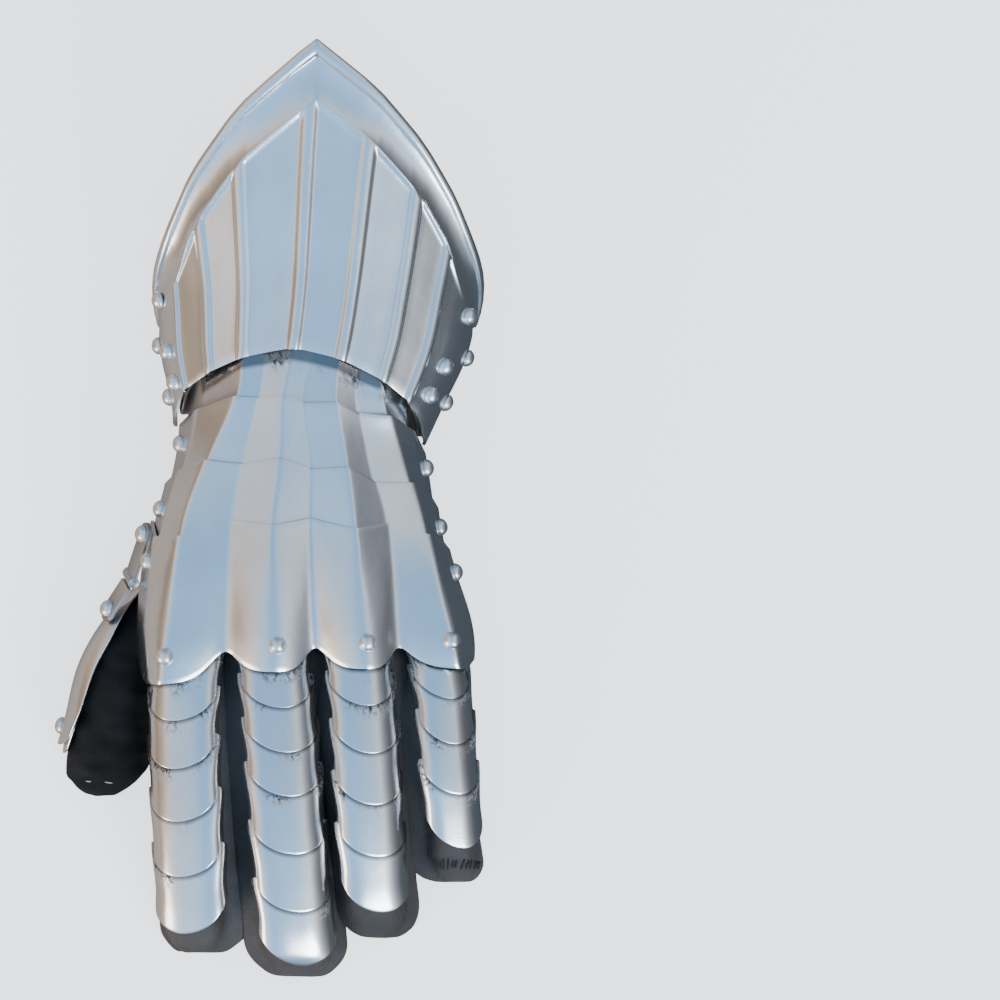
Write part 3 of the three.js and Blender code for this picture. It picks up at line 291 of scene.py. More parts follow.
def facing(point_at, across, along, step_across, step_along):
    """The outward normal of a face whose first direction runs towards +X and second towards +Y."""
    right = point_at(across + step_across, along) - point_at(across - step_across, along)
    back = point_at(across, along + step_along) - point_at(across, along - step_along)
    return right.cross(back).normalized()


# ---------- The arch over the wrist and the hand ----------

hand = table_curves(HAND_SECTIONS, HAND_KEYS)
crease_lines = table_curves(CREASES, range(7))
section_cache = {}


def hand_section(y):
    key = round(y, 3)
    if key in section_cache:
        return section_cache[key]
    left, right, crown, girth, relief, power, hem = (hand[k](y) for k in HAND_KEYS)
    centre = (left + right) / 2
    reach = (right - left) / 2

    def height(u):
        return girth + (crown - girth) * max(1 - abs(u) ** power, 0) ** (1 / power)

    creases = []
    for i in range(7):
        x = crease_lines[i](y)
        creases.append((x, height((x - centre) / reach) + (relief if i % 2 == 0 else -relief)))

    def shoulder(crease, side):
        u = SHOULDER_SHARE * (crease[0] - centre) / reach + (1 - SHOULDER_SHARE) * side
        return (centre + u * reach, height(u))

    section_cache[key] = [
        (left + HEM_TURN * hem / HEM_DEPTH, girth - hem), (left, girth), shoulder(creases[0], -1),
        *creases, shoulder(creases[6], 1), (right, girth), (right - HEM_TURN, girth - HEM_DEPTH),
    ]
    return section_cache[key]


def arch_point(across, y):
    section = hand_section(y)
    i = max(min(int(across), 11), 0)
    t = across - i
    soft = RIDGE_SOFTNESS * clamp((RIDGE_SOFT_FROM - y) / RIDGE_SOFT_OVER, 0, 1) if 2 <= i <= 9 else 0
    rounded = t + (soft if i % 2 == 0 else -soft) * t * (1 - t)
    return Vector((lerp(section[i][0], section[i + 1][0], t), y,
                   lerp(section[i][1], section[i + 1][1], rounded)))


def soft_arch_point(across, y):
    """The arch with its creases slightly rounded, as hammered steel has them."""
    width = min(lerp(*CREASE_ROUNDING, smoothstep(-y, 5, 50)), across, 12 - across)
    taps = [arch_point(across + width * part, y) for part in (-1, -0.5, 0, 0.5, 1)]
    return sum((w * tap for w, tap in zip((1, 2, 3, 2, 1), taps)), Vector()) / 9


def lifted_arch_point(across, y, lift):
    normal = facing(arch_point, clamp(across, 0.3, 11.7), y, 0.3, 1)
    return soft_arch_point(across, y) + normal * lift


def tuck_at(across):
    return LAME_TUCK + LAME_TUCK_SIDE * abs(across - 6) / 6


def arch_face(upper, lower, lift):
    """A plate of the arch, as a face over (across, share), share 0 at its upper edge."""

    def face(across, share):
        y = lerp(upper(across), lower(across), share)
        return lifted_arch_point(across, y, lift * (1 - share))

    return face


def edge_of(values, tuck=0):
    """A lame's edge: tuck is 1 where it runs on under the cuff, and -1 under the next plate."""
    return lambda across: between(values, across) + tuck * tuck_at(across)


knuckle_arcs = [
    smooth_curve(list(range(a, b + 1)), KNUCKLE_EDGE[a:b + 1])
    for a, b in zip(KNUCKLE_NOTCHES, KNUCKLE_NOTCHES[1:])
]


def knuckle_arc(across):
    place = clamp(across * 2, 0, 24)
    arc = next(i for i, end in enumerate(KNUCKLE_NOTCHES[1:]) if place <= end)
    return knuckle_arcs[arc](place)


def knuckle_edge(across):
    """Four scallops, which meet in small rounded notches."""
    notch = min(abs(across * 2 - at) for at in KNUCKLE_NOTCHES[1:-1])
    rounded = sum(knuckle_arc(across + part) for part in (-0.16, -0.08, 0, 0.08, 0.16)) / 5
    return rounded + NOTCH_DEPTH * math.exp(-(notch / NOTCH_WIDTH) ** 2)


ARCH_FACES = {
    "wrist_lame_1": arch_face(edge_of(CUFF_EDGE_OVER_LAME, 1), edge_of(LAME_2_EDGE, -1), 0),
    "wrist_lame_2": arch_face(edge_of(LAME_2_EDGE), edge_of(LAME_3_EDGE, -1), LAME_LIFT),
    "wrist_lame_3": arch_face(edge_of(LAME_3_EDGE), edge_of(METACARPAL_EDGE, -1), LAME_LIFT),
    "metacarpal_plate": arch_face(edge_of(METACARPAL_EDGE), knuckle_edge, LAME_LIFT),
}

# ---------- The cuff ----------

cuff = table_curves(CUFF_SECTIONS, CUFF_KEYS)
cuff_wrist_edge = curve_of(CUFF_WRIST_EDGE)
cuff_arm = table_curves(CUFF_ARM_LINES, CUFF_ARM_KEYS)
under_floor = curve_of(UNDER_FLOOR)

CUFF_LINES = {key: (lambda angle, line=cuff_arm[key]: line(abs(angle))) for key in CUFF_ARM_KEYS}
CUFF_LINES["wrist"] = cuff_wrist_edge


def cuff_point(angle, y):
    turn = math.radians(angle)
    return Vector((cuff["centre"](y) + cuff["reach"](y) * math.sin(turn), y,
                   cuff["girth"](y) + (cuff["crown"](y) - cuff["girth"](y)) * math.cos(turn)))


# A ridge's section: degrees from its crest, and share of its height.
RIDGE_PROFILE = ((-3, 0), (-2.75, 0.04), (-2.1, 0.42), (-1.5, 0.86), (-1.05, 1), (0, 1.08),
                 (1.05, 1), (1.5, 0.86), (2.1, 0.42), (2.75, 0.04), (3, 0))
# The cuff's profile from its arm end to the wrist: between which lines, the share of the way, how far
# it stands out, and how much of that is the chevron's crest, which runs out at the sides.
CUFF_ROWS = [
    *(("edge", "rim", part, lift, 0) for part, lift in (
        (0, 0.3), (0.06, 0.9), (0.18, 1.35), (0.36, 1.55), (0.6, 1.5), (0.8, 1.25), (0.9, 0.95), (0.95, 0.35))),
    *(("rim", "chevron", part, lift, crest) for part, lift, crest in (
        (0, 0.05, 0), (0.05, -0.1, 0), (0.15, -0.3, 0), (0.28, -0.46, 0), (0.42, -0.52, 0), (0.55, -0.45, 0),
        (0.66, -0.28, 0), (0.76, -0.06, 0), (0.84, 0.05, 0.14), (0.91, 0.05, 0.4), (0.96, 0.02, 0.72),
        (0.985, 0, 0.9), (1.0, 0, 0.95))),
    *(("chevron", "wrist", part, 0, crest) for part, crest in (
        (0.008, 0.85), (0.02, 0.5), (0.033, 0.14), (0.045, 0), *((part, 0) for part in steps(16, 0.07, 1)))),
]


def cuff_columns():
    """Wrist angle, arm angle and ridge height of each column, with even panels between the ridges."""
    columns = [(*pair, 0) for pair in THUMB_SIDE_COLUMNS]
    for order, (wrist, arm) in enumerate(CUFF_RIDGES):
        if order:
            before = [angle + RIDGE_FOOT for angle in CUFF_RIDGES[order - 1]]
            for t in (0.25, 0.5, 0.75):
                columns.append((lerp(before[0], wrist - RIDGE_FOOT, t), lerp(before[1], arm - RIDGE_FOOT, t), None))
        columns += [(wrist + a, arm + a, share * RIDGE_HEIGHT) for a, share in RIDGE_PROFILE]
    return columns + [(*pair, 0) for pair in OUTER_COLUMNS]


def cuff_place(wrist, arm, height, row):
    start, stop, part, lift, crest = row
    rough = lerp(CUFF_LINES[start](arm), CUFF_LINES[stop](arm), part)
    share = clamp((rough - CUFF_TURN_FROM) / CUFF_TURN_OVER, 0, 1)
    angle = lerp(wrist, arm, share)
    y = lerp(CUFF_LINES[start](angle), CUFF_LINES[stop](angle), part)
    crest *= 1 - smoothstep(abs(angle), *CREST_FADE)
    ridge = height if start == "chevron" else 0
    normal = facing(cuff_point, angle, y, 2, 1)
    return cuff_point(angle, y) + normal * (lift + max(crest, ridge))


def cuff_face(column, row):
    wrist, arm, height = column
    if height is not None:
        return cuff_place(wrist, arm, height, row)
    # A panel is nearly flat between the feet of its two ridges.
    order = next(i for i in range(1, 7) if wrist < CUFF_RIDGES[i][0])
    left = [angle + RIDGE_FOOT for angle in CUFF_RIDGES[order - 1]]
    right = [angle - RIDGE_FOOT for angle in CUFF_RIDGES[order]]
    t = (wrist - left[0]) / (right[0] - left[0])
    flat = lerp(cuff_place(*left, 0, row), cuff_place(*right, 0, row), t)
    return lerp(flat, cuff_place(wrist, arm, 0, row), PANEL_ROUND)


def under_point(angle, y):
    turn = math.radians(angle)
    reach = cuff["reach"](y) - UNDER_PLATE_INSET
    girth = cuff["girth"](y)
    if abs(angle) <= 90:
        height = cuff["crown"](y) - girth - UNDER_PLATE_INSET
        return Vector((cuff["centre"](y) + reach * math.sin(turn), y, girth + height * math.cos(turn)))
    drop = abs(math.cos(turn)) ** (2 / UNDER_POWER)
    return Vector((cuff["centre"](y) + reach * power_sine(turn, UNDER_POWER), y,
                   girth - (girth - under_floor(y)) * drop))


def under_face(turn, row):
    angle = turn - 360 if turn > 180 else turn
    side = math.copysign(min(abs(angle), CUFF_HEM_ANGLE), angle)
    beneath = max(abs(angle) - CUFF_HEM_ANGLE, 0) / (180 - CUFF_HEM_ANGLE)
    wrist = max(cuff_wrist_edge(side), cuff_wrist_edge(math.copysign(80, side))) + UNDER_PLATE_TUCK
    return under_point(angle, lerp(UNDER_PLATE_ARM_EDGE, wrist + UNDER_PLATE_FORWARD * beneath, row))


# ---------- Fingers, scales and thumb ----------

profile = table_curves(FINGER_PROFILE, PROFILE_KEYS)


def finger_section(finger, y):
    along = (FINGER_ROOT_Y - y) / (FINGER_ROOT_Y - finger["tip_y"])
    settle = clamp(1 - along, 0, 1)
    top = profile["top"](along) + finger["rise"] * settle
    bottom = profile["bottom"](along) + finger["rise"] * settle
    flanks = [lerp(*pair, clamp(along, 0, 1) ** FLANK_SWING) for pair in finger["flanks"]]
    return dict(x=lerp(finger["root"], finger["tip"], max(along, 0) ** FINGER_SWING), z=(top + bottom) / 2,
                wide=finger["breadth"] / 2 * profile["spread"](along), high=(top - bottom) / 2, flanks=flanks,
                roll=math.radians(finger["roll"]) * smoothstep(along, 0, FINGER_ROLLED_BY))


def rolled(section, aside, up, y):
    """A point of a finger's section, which is turned a little about the finger's length."""
    cos, sin = math.cos(section["roll"]), math.sin(section["roll"])
    return Vector((section["x"] + aside * cos - up * sin, y, section["z"] + aside * sin + up * cos))


def scale_face(finger, order):
    edges = finger["edges"]
    lowest = edges[order]
    upper = FINGER_ROOT_Y - 1 if order == 0 else edges[order - 1] + SCALE_TUCK + 1
    depth = SCALE_BOW * (1.15 if order == len(edges) - 1 else 1)

    def face(across, row):
        turn = across * math.pi / 2
        power = SCALE_POWER if across * finger["flat"] >= 0 else finger["wall"]
        reach = power_sine(turn, power)
        bow = depth * (1 - math.sqrt(max(1 - reach * reach, 0)))
        y = lerp(upper - SCALE_NECK * abs(across) ** 3, lowest + bow, row)
        section = finger_section(finger, y)
        lift = lerp(1, SCALE_LIFT, row) if order == 0 else SCALE_LIFT * row
        corner = SCALE_CORNER * (1 - smoothstep(row, 0, 0.8))
        wide = section["wide"] + SCALE_STEEL + SEAT_GAP + SCALE_SIDE_ROOM + corner + 0.3 * lift
        flattened = smoothstep(reach * finger["flat"], 0, 0.6)
        wide += finger["flare"] * flattened
        arch = SCALE_SKIRT + SCALE_STEEL + SEAT_GAP + SCALE_TOP_ROOM + lift - SCALE_FLATTENING * flattened
        foot = section["high"] - SCALE_SKIRT + SCALE_FLATTENING * flattened
        return rolled(section, wide * reach, foot + arch * abs(math.cos(turn)) ** (2 / power), y)

    return face


thumb = table_curves(THUMB_PATH, THUMB_KEYS)
thumb_lines = table_curves(THUMB_PLATE_LINES, ("middle", "half"))


def thumb_frame(share):
    behind, at, ahead = (Vector([thumb[k](place) for k in "xyz"])
                         for place in (share - THUMB_STEP, share, min(share + THUMB_STEP, 1)))
    along = (ahead - behind).normalized()
    side = along.cross(Vector((0, 0, 1))).normalized()
    return at, along, side, side.cross(along)


def thumb_point(share, turn, room=0):
    """A point on the thumb's leather or over it: turn in degrees, 0 on top and 90 away from the hand."""
    near = min(share, 1)
    at, along, side, up = thumb_frame(near)
    close = THUMB_TIP_CLOSE.get(round(share, 3), 1)
    angle = math.radians(turn)
    return (at + along * (share - near) * THUMB_LENGTH
            + side * (thumb["wide"](near) * close + room) * power_sine(angle, FINGER_POWER)
            + up * (thumb["high"](near) * close + room) * power_sine(angle + math.pi / 2, FINGER_POWER))


def leaning_thumb_point(share, turn, room=0):
    return thumb_point(share, turn, room) + THUMB_LEAN * smoothstep(share, THUMB_LEAN_FROM, 1)


def thumb_face(plate):
    def face(across, row):
        corner = abs(across) ** 3
        share = lerp(plate["start"] + 0.03 * corner, plate["end"] - 0.05 * corner, row)
        turn = thumb_lines["middle"](share) + across * (thumb_lines["half"](share) - plate["narrower"])
        return thumb_point(share, turn, THUMB_ROOM + plate["lift"] * row)

    return face


# ---------- Materials ----------


class Graph:
    """Short ways to add and join the nodes of one tree."""

    def __init__(self, tree):
        self.tree = tree

    def feed(self, node, values):
        """Sets inputs of a node, each to a constant or to what comes from a socket."""
        for key, value in values.items():
            if isinstance(value, bpy.types.NodeSocket):
                self.tree.links.new(value, node.inputs[key])
            else:
                node.inputs[key].default_value = value

    def add(self, kind, values=None, **settings):
        node = self.tree.nodes.new(kind)
        for key, value in settings.items():
            setattr(node, key, value)
        self.feed(node, values or {})
        return node

    def use(self, group, **values):
        return self.add("ShaderNodeGroup", values, node_tree=group).outputs

    def axis(self, vector, name):
        return self.add("ShaderNodeSeparateXYZ", {0: vector}).outputs[name]

    def math(self, operation, a, b):
        return self.add("ShaderNodeMath", {0: a, 1: b}, operation=operation).outputs[0]

    def times(self, a, b):
        return self.math("MULTIPLY", a, b)

    def noise(self, vector, scale, detail=2.0, roughness=0.5):
        """Noise of one scale, or of a scale for each axis."""
        if isinstance(scale, tuple):
            vector, scale = self.add("ShaderNodeMapping", {"Vector": vector, "Scale": scale}).outputs[0], 1
        values = {"Vector": vector, "Scale": scale, "Detail": detail, "Roughness": roughness}
        return self.add("ShaderNodeTexNoise", values).outputs["Fac"]

    def ramp(self, value, *stops):
        """Maps a value to a grey or a colour through stops of (place, colour)."""
        node = self.add("ShaderNodeValToRGB", {"Fac": value})
        elements = node.color_ramp.elements
        while len(elements) < len(stops):
            elements.new(0.5)
        for element, (place, colour) in zip(elements, stops):
            element.position = place
            element.color = (*colour, 1) if isinstance(colour, tuple) else (colour, colour, colour, 1)
        return node.outputs[0]

    def range(self, value, low, high, to_low=0.0, to_high=1.0):
        values = {"Value": value, "From Min": low, "From Max": high, "To Min": to_low, "To Max": to_high}
        return self.add("ShaderNodeMapRange", values).outputs[0]

    def mix(self, factor, a, b):
        """Mixes two colours, each a socket or its red, green and blue."""
        a, b = ((*colour, 1) if isinstance(colour, tuple) else colour for colour in (a, b))
        return self.add("ShaderNodeMix", {0: factor, 6: a, 7: b}, data_type="RGBA").outputs[2]

    def bump(self, *layers):
        """Bumps over each other, each a height, a strength and a depth in metres."""
        below = {}
        for height, strength, depth in layers:
            values = {"Height": height, "Strength": strength, "Distance": depth, **below}
            below = {"Normal": self.add("ShaderNodeBump", values).outputs[0]}
        return below["Normal"]


def open_group(name, outputs, **inputs):
    """A new group, its graph, its inputs (a place and some values) and the node that takes its outputs."""
    group = bpy.data.node_groups.new(name, "ShaderNodeTree")
    group.interface.new_socket("Vector", in_out="INPUT", socket_type="NodeSocketVector")
    for label, value in inputs.items():
        group.interface.new_socket(label, in_out="INPUT", socket_type="NodeSocketFloat").default_value = value
    for label in outputs:
        group.interface.new_socket(label, in_out="OUTPUT", socket_type="NodeSocketFloat")
    return group, Graph(group), group.nodes.new("NodeGroupInput").outputs, group.nodes.new("NodeGroupOutput")


def brushing_group():
    """Fine marks of the polishing wheel: a value that varies the roughness, and a height."""
    group, g, inside, outside = open_group("brushing", ("Value", "Height"))
    place = inside["Vector"]
    along = g.noise(place, (1500, 60, 900), 3)
    cross = g.noise(place, (90, 2200, 700), 2)
    where = g.range(g.noise(place, 34, 3), 0.42, 0.6)
    strokes = g.math("ADD", g.times(along, where), g.times(cross, g.math("SUBTRACT", 1.0, where)))
    g.feed(outside, {"Value": g.range(g.noise(place, 22, 4, 0.6), 0.3, 0.7), "Height": strokes})
    return group


def hammering_group():
    """The slow waves that hammering and planishing leave in a plate."""
    group, g, inside, outside = open_group("hammering", ("Height",))
    wide = g.noise(inside["Vector"], (38, 30, 38), 1)
    small = g.noise(inside["Vector"], (130, 95, 130), 2)
    g.feed(outside, {"Height": g.math("ADD", wide, g.times(small, 0.16))})
    return group


def scratches_group():
    """Sparse hairline scratches in two directions, as a mask."""
    group, g, inside, outside = open_group("scratches", ("Mask",), Amount=0.5)
    place = inside["Vector"]
    masks = []
    for turn, scale in ((0.35, (1700, 26, 26)), (-0.8, (26, 1500, 26))):
        turned = g.add("ShaderNodeMapping", {"Vector": place, "Rotation": (0.2, 0.1, turn)}).outputs[0]
        masks.append(g.range(g.noise(turned, scale, 1), 0.7, 0.76))
    both = g.times(g.math("MAXIMUM", *masks), g.range(g.noise(place, 60, 2), 0.5, 0.62))
    g.feed(outside, {"Mask": g.times(both, inside["Amount"])})
    return group


def grime_and_lap_shade_group():
    """Where the lap attribute is high: a painted shadow line at the edge above, and soiling scuffs past it."""
    group, g, inside, outside = open_group("grime", ("Mask", "Line"), Lap=0.0)
    place, lap = inside["Vector"], inside["Lap"]
    patches = g.range(g.noise(place, (70, 55, 60), 2), 0.5, 0.6)
    flecks = g.range(g.noise(place, (800, 420, 600), 4, 0.75), 0.5, 0.56)
    smear = g.range(g.noise(place, (300, 700, 500), 3, 0.7), 0.56, 0.62)
    marks = g.times(patches, g.math("MAXIMUM", flecks, smear))
    g.feed(outside, {"Mask": g.times(marks, g.range(lap, 0.35, 0.85)), "Line": g.range(lap, 0.8, 0.97)})
    return group


def grain_group():
    """Leather grain: small pebbles between fine creases, as a height, and a slow change of tone."""
    group, g, inside, outside = open_group("leather_grain", ("Height", "Tone"), Scale=900.0)
    place = inside["Vector"]
    swirl = g.add("ShaderNodeTexNoise", {"Vector": place, "Scale": 260.0}).outputs["Color"]
    shifted = g.add("ShaderNodeVectorMath", {0: swirl, 1: (0.0012, 0.0012, 0.0012), 2: place},
                    operation="MULTIPLY_ADD").outputs[0]
    cells = g.add("ShaderNodeTexVoronoi", {"Vector": shifted, "Scale": inside["Scale"]},
                  feature="DISTANCE_TO_EDGE").outputs["Distance"]
    pebbles = g.times(g.range(cells, 0.0, 0.16), 0.7)
    g.feed(outside, {"Height": g.math("ADD", pebbles, g.times(g.noise(place, 2600, 2), 0.4)),
                     "Tone": g.range(g.noise(place, 46, 4), 0.3, 0.7)})
    return group


BRUSHING = brushing_group()
HAMMERING = hammering_group()
SCRATCHES = scratches_group()
GRIME_AND_SHADE = grime_and_lap_shade_group()
GRAIN = grain_group()

SMUDGED = (0.62, 0.55, 0.48)
WORN = (0.95, 0.93, 0.9)
CREASE_SHADE = (0.12, 0.11, 0.1)
LAP_SHADE = (0.07, 0.06, 0.055)
GRIME_DIRT = (0.03, 0.0285, 0.027)
# A lighter tone painted on the shaded flanks of the fingers near their roots: painted light.
ROOT_LIGHT_PAINT = (0.165, 0.14, 0.125)


def new_material(name):
    material = bpy.data.materials.new(name)
    material.use_nodes = True
    material.node_tree.nodes.clear()
    g = Graph(material.node_tree)
    shader = g.add("ShaderNodeBsdfPrincipled")
    g.add("ShaderNodeOutputMaterial", {"Surface": shader.outputs[0]})
    return material, g, shader, g.add("ShaderNodeTexCoord").outputs["Object"]


def steel_material(name, bright, dark, roughness, hammer, brush, wear, metal=1.0):
    """Polished sheet steel with worn bright edges, wheel marks, hairlines and grime at the laps, with painted shade
    in its hollow creases and a painted shadow line under each lap's edge.
    """
    material, g, shader, place = new_material(name)
    brushing = g.use(BRUSHING, Vector=place)
    hammering = g.use(HAMMERING, Vector=place)
    scratches = g.use(SCRATCHES, Vector=place, Amount=0.35)
    lap = g.add("ShaderNodeAttribute", attribute_name="lap", attribute_type="GEOMETRY").outputs["Fac"]
    soiling_and_shade = g.use(GRIME_AND_SHADE, Vector=place, Lap=lap)
    point = g.add("ShaderNodeNewGeometry").outputs["Pointiness"]
    tone = g.mix(brushing["Value"], dark, bright)
    for share, colour in (
            (g.range(g.noise(place, (26, 18, 26), 4, 0.62), 0.52, 0.74, 0.0, 0.28), SMUDGED),
            (g.times(g.range(point, 0.52, 0.6), wear), WORN),
            # Painted shade: darker in the hollow creases, by pointiness.
            (g.range(point, 0.44, 0.49, 0.5, 0.0), CREASE_SHADE),
            # Painted shadow: a dark line just past the edge of the plate that lies over this one.
            (g.times(soiling_and_shade["Line"], 0.8), LAP_SHADE),
            (soiling_and_shade["Mask"], GRIME_DIRT)):
        tone = g.mix(share, tone, colour)
    rough = g.math("ADD", g.range(brushing["Value"], 0.0, 1.0, roughness + 0.05, roughness - 0.03),
                   g.times(scratches["Mask"], 0.25))
    g.feed(shader, {
        "Base Color": tone,
        "Metallic": g.range(soiling_and_shade["Mask"], 0.0, 1.0, metal, 0.15),
        "Roughness": g.math("ADD", rough, g.times(soiling_and_shade["Mask"], 0.4)),
        "Normal": g.bump((hammering["Height"], hammer, 0.0012), (brushing["Height"], brush, 0.00004),
                         (scratches["Mask"], 0.25, 0.00003)),
    })
    return material


def leather_material(name, low, high, roughness, grain, scale, sheen=0.45, dusty=0.0):
    """Leather or thread. It can be painted lighter on the flanks of the fingers near their roots, a painted light
    where those flanks lie in shade.
    """
    material, g, shader, place = new_material(name)
    pebbles = g.use(GRAIN, Vector=place, Scale=scale)
    along = g.axis(place, "Y")
    upright = g.axis(g.add("ShaderNodeNewGeometry").outputs["Normal"], "Z")
    roots = g.times(g.range(along, -0.115, -0.07), g.range(along, -0.045, -0.052))
    painted_root_light = g.times(g.times(roots, g.range(upright, -0.45, -0.05)), dusty)
    g.feed(shader, {
        "Base Color": g.mix(painted_root_light, g.mix(pebbles["Tone"], low, high), ROOT_LIGHT_PAINT),
        "Roughness": g.range(pebbles["Tone"], 0.0, 1.0, roughness + 0.08, roughness - 0.06),
        "Normal": g.bump((pebbles["Height"], grain, 0.0002)),
        "Specular IOR Level": sheen,
    })
    return material


PLATE_STEEL = steel_material("plate_steel", (0.84, 0.845, 0.85), (0.72, 0.73, 0.745), 0.22, 0.6, 0.4, 0.45)
SCALE_FINISH = steel_material("scale_steel", (0.84, 0.84, 0.84), (0.70, 0.70, 0.71), 0.23, 0.2, 0.4, 0.8)
# A brown, dull steel that paints light onto the thumb side of the first lame.
SIDE_PAINTED_LIGHT = steel_material("side_steel", (0.56, 0.45, 0.37), (0.42, 0.33, 0.27), 0.42, 0.3, 0.4, 0.4, 0.25)
UNDER_STEEL = steel_material("under_steel", (0.55, 0.54, 0.53), (0.36, 0.35, 0.34), 0.34, 0.4, 0.5, 0.5)
HINGE_STEEL = steel_material("hinge_steel", (0.40, 0.385, 0.37), (0.19, 0.18, 0.17), 0.34, 0.3, 0.5, 1.0)
# Near-black steel for the side faces of the hinge leaves: painted shade.
HINGE_EDGE_SHADE = steel_material("hinge_soot", (0.10, 0.095, 0.09), (0.04, 0.038, 0.036), 0.45, 0.3, 0.5, 0.6)
RIVET_STEEL = steel_material("rivet_steel", (0.96, 0.955, 0.95), (0.88, 0.88, 0.88), 0.3, 0.06, 0.15, 0.3)
GLOVE_LEATHER = leather_material(
    "glove_leather", (0.043, 0.037, 0.034), (0.070, 0.062, 0.057), 0.46, 0.5, 1000.0, sheen=0.36, dusty=0.8)
THUMB_LEATHER = leather_material(
    "thumb_suede", (0.008, 0.0075, 0.007), (0.019, 0.018, 0.017), 0.8, 0.8, 1500.0, sheen=0.14)
PALE_THREAD = leather_material("pale_thread", (0.35, 0.35, 0.34), (0.5, 0.5, 0.48), 0.6, 0.3, 3000.0)
THREAD = leather_material("black_thread", (0.008, 0.008, 0.009), (0.02, 0.02, 0.022), 0.55, 0.4, 3000.0)

# ---------- Making pieces ----------

BODY_OF = {node: body for body, members in frame["record"]["behaviour"]["bodies"].items() for node in members}
SHARP_ANGLE = 38
PLATE_BEVEL = 0.3
SMALL_BEVEL = 0.26


def add_to_scene(name, data):
    thing = bpy.data.objects.new(name, data)
    bpy.context.scene.collection.objects.link(thing)
    return thing


def mesh_of(bm, name):
    mesh = bpy.data.meshes.new(name)
    bm.to_mesh(mesh)
    bm.free()
    return mesh


def smoothed(mesh, angle=SHARP_ANGLE):
    """Shades a mesh smooth between its sharp edges."""
    mesh.shade_smooth()
    mesh.set_sharp_from_angle(angle=math.radians(angle))
    return mesh


def link_piece(name, mesh, material, slot, *nodes):
    """Adds a piece that takes the place of some nodes and rides with them, or else with the hand."""
    piece = add_to_scene(name, mesh)
    mesh.materials.append(material)
    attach(piece, BODY_OF[nodes[0]] if nodes else "hand")
    if nodes:
        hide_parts(*nodes)
    return piece


def add_wall(piece, thickness):
    """Gives a skin its thickness, inwards."""
    wall = piece.modifiers.new("wall", "SOLIDIFY")
    wall.thickness = thickness * MM
    wall.offset = -1


def finish_mesh(piece, angle=SHARP_ANGLE):
    """Applies a piece's modifiers and shades it smooth between its sharp edges."""
    bpy.context.view_layer.update()
    evaluated = piece.evaluated_get(bpy.context.evaluated_depsgraph_get())
    mesh = bpy.data.meshes.new_from_object(evaluated)
    piece.modifiers.clear()
    old = piece.data
    piece.data = smoothed(mesh, angle)
    bpy.data.meshes.remove(old)


def grid_mesh(name, columns, rows, point_at, centre_at, lap_at):
    """A sheet whose crossings lie on point_at(column, row), and whose faces look away from centre_at(point)."""
    bm = bmesh.new()
    wide, deep = len(columns) - 1, len(rows) - 1
    bmesh.ops.create_grid(bm, x_segments=wide, y_segments=deep, size=0.5)
    lap = bm.verts.layers.float.new("lap")
    for vert in bm.verts:
        i = round((vert.co.x + 0.5) * wide)
        j = round((vert.co.y + 0.5) * deep)
        if lap_at:
            vert[lap] = lap_at(columns[i], rows[j])
        vert.co = (point_at(columns[i], rows[j]) + SHIFT) * MM
    bm.normal_update()
    middles = [(face.normal, face.calc_center_median()) for face in bm.faces]
    if sum(normal.dot(middle - centre_at(middle)) for normal, middle in middles) < 0:
        bmesh.ops.reverse_faces(bm, faces=bm.faces[:])
    return mesh_of(bm, name)


def under_middle(point):
    return Vector((0.012, point.y, 0.02))


def cuff_middle(point):
    return Vector((0.018, point.y, 0.035))


def steel_plate(name, columns, rows, point_at, thickness=STEEL, material=PLATE_STEEL, centre_at=under_middle,
                lap_at=None, bevel=PLATE_BEVEL):
    mesh = grid_mesh(name, columns, rows, point_at, centre_at, lap_at)
    piece = link_piece(name + "_sheet", mesh, material, "plate_steel", name)
    add_wall(piece, thickness)
    edge = piece.modifiers.new("edge", "BEVEL")
    edge.width = bevel * MM
    edge.segments = 2
    edge.limit_method = "ANGLE"
    edge.angle_limit = math.radians(50)
    finish_mesh(piece)


def small_plate(name, across, along, point_at, **others):
    steel_plate(name, steps(across, -1, 1), steps(along), point_at, SCALE_STEEL, SCALE_FINISH, bevel=SMALL_BEVEL,
                **others)


def cuff_shadow(across, share):
    """The first lame's lap where the cuff's edge lies over it: a painted shadow along that edge, and soiling past
    it.
    """
    face = ARCH_FACES["wrist_lame_1"](across, share)
    near = clamp(1 - (between(CUFF_EDGE_OVER_LAME, across) - 2.6 - face.y) / LAP_REACH, 0, 1)
    return near * smoothstep(across, 1.3, 2.0) * smoothstep(12 - across, 2.2, 3.2)


def arch_columns(shares):
    """Columns over the arch, at the given shares of each of its twelve facets."""
    return sorted({round(facet + share, 3) for facet in range(12) for share in shares}) + [12]


LAME_COLUMNS = arch_columns((0, 0.05, 0.12, 0.25, 0.5, 0.75, 0.88, 0.95))
METACARPAL_COLUMNS = arch_columns((0.05, 0.95, *steps(12)[:-1]))


def paint_side_light():
    """The thumb side of the first lame, under the cuff, takes a brown, dull steel by which way its faces look:
    painted light where that facet would mirror the cuff's dark inside.
    """
    mesh = bpy.data.objects["wrist_lame_1_sheet"].data
    mesh.materials.append(SIDE_PAINTED_LIGHT)
    for face in mesh.polygons:
        face.material_index = int(face.normal.x < -0.55 and face.center.y > 0.02)


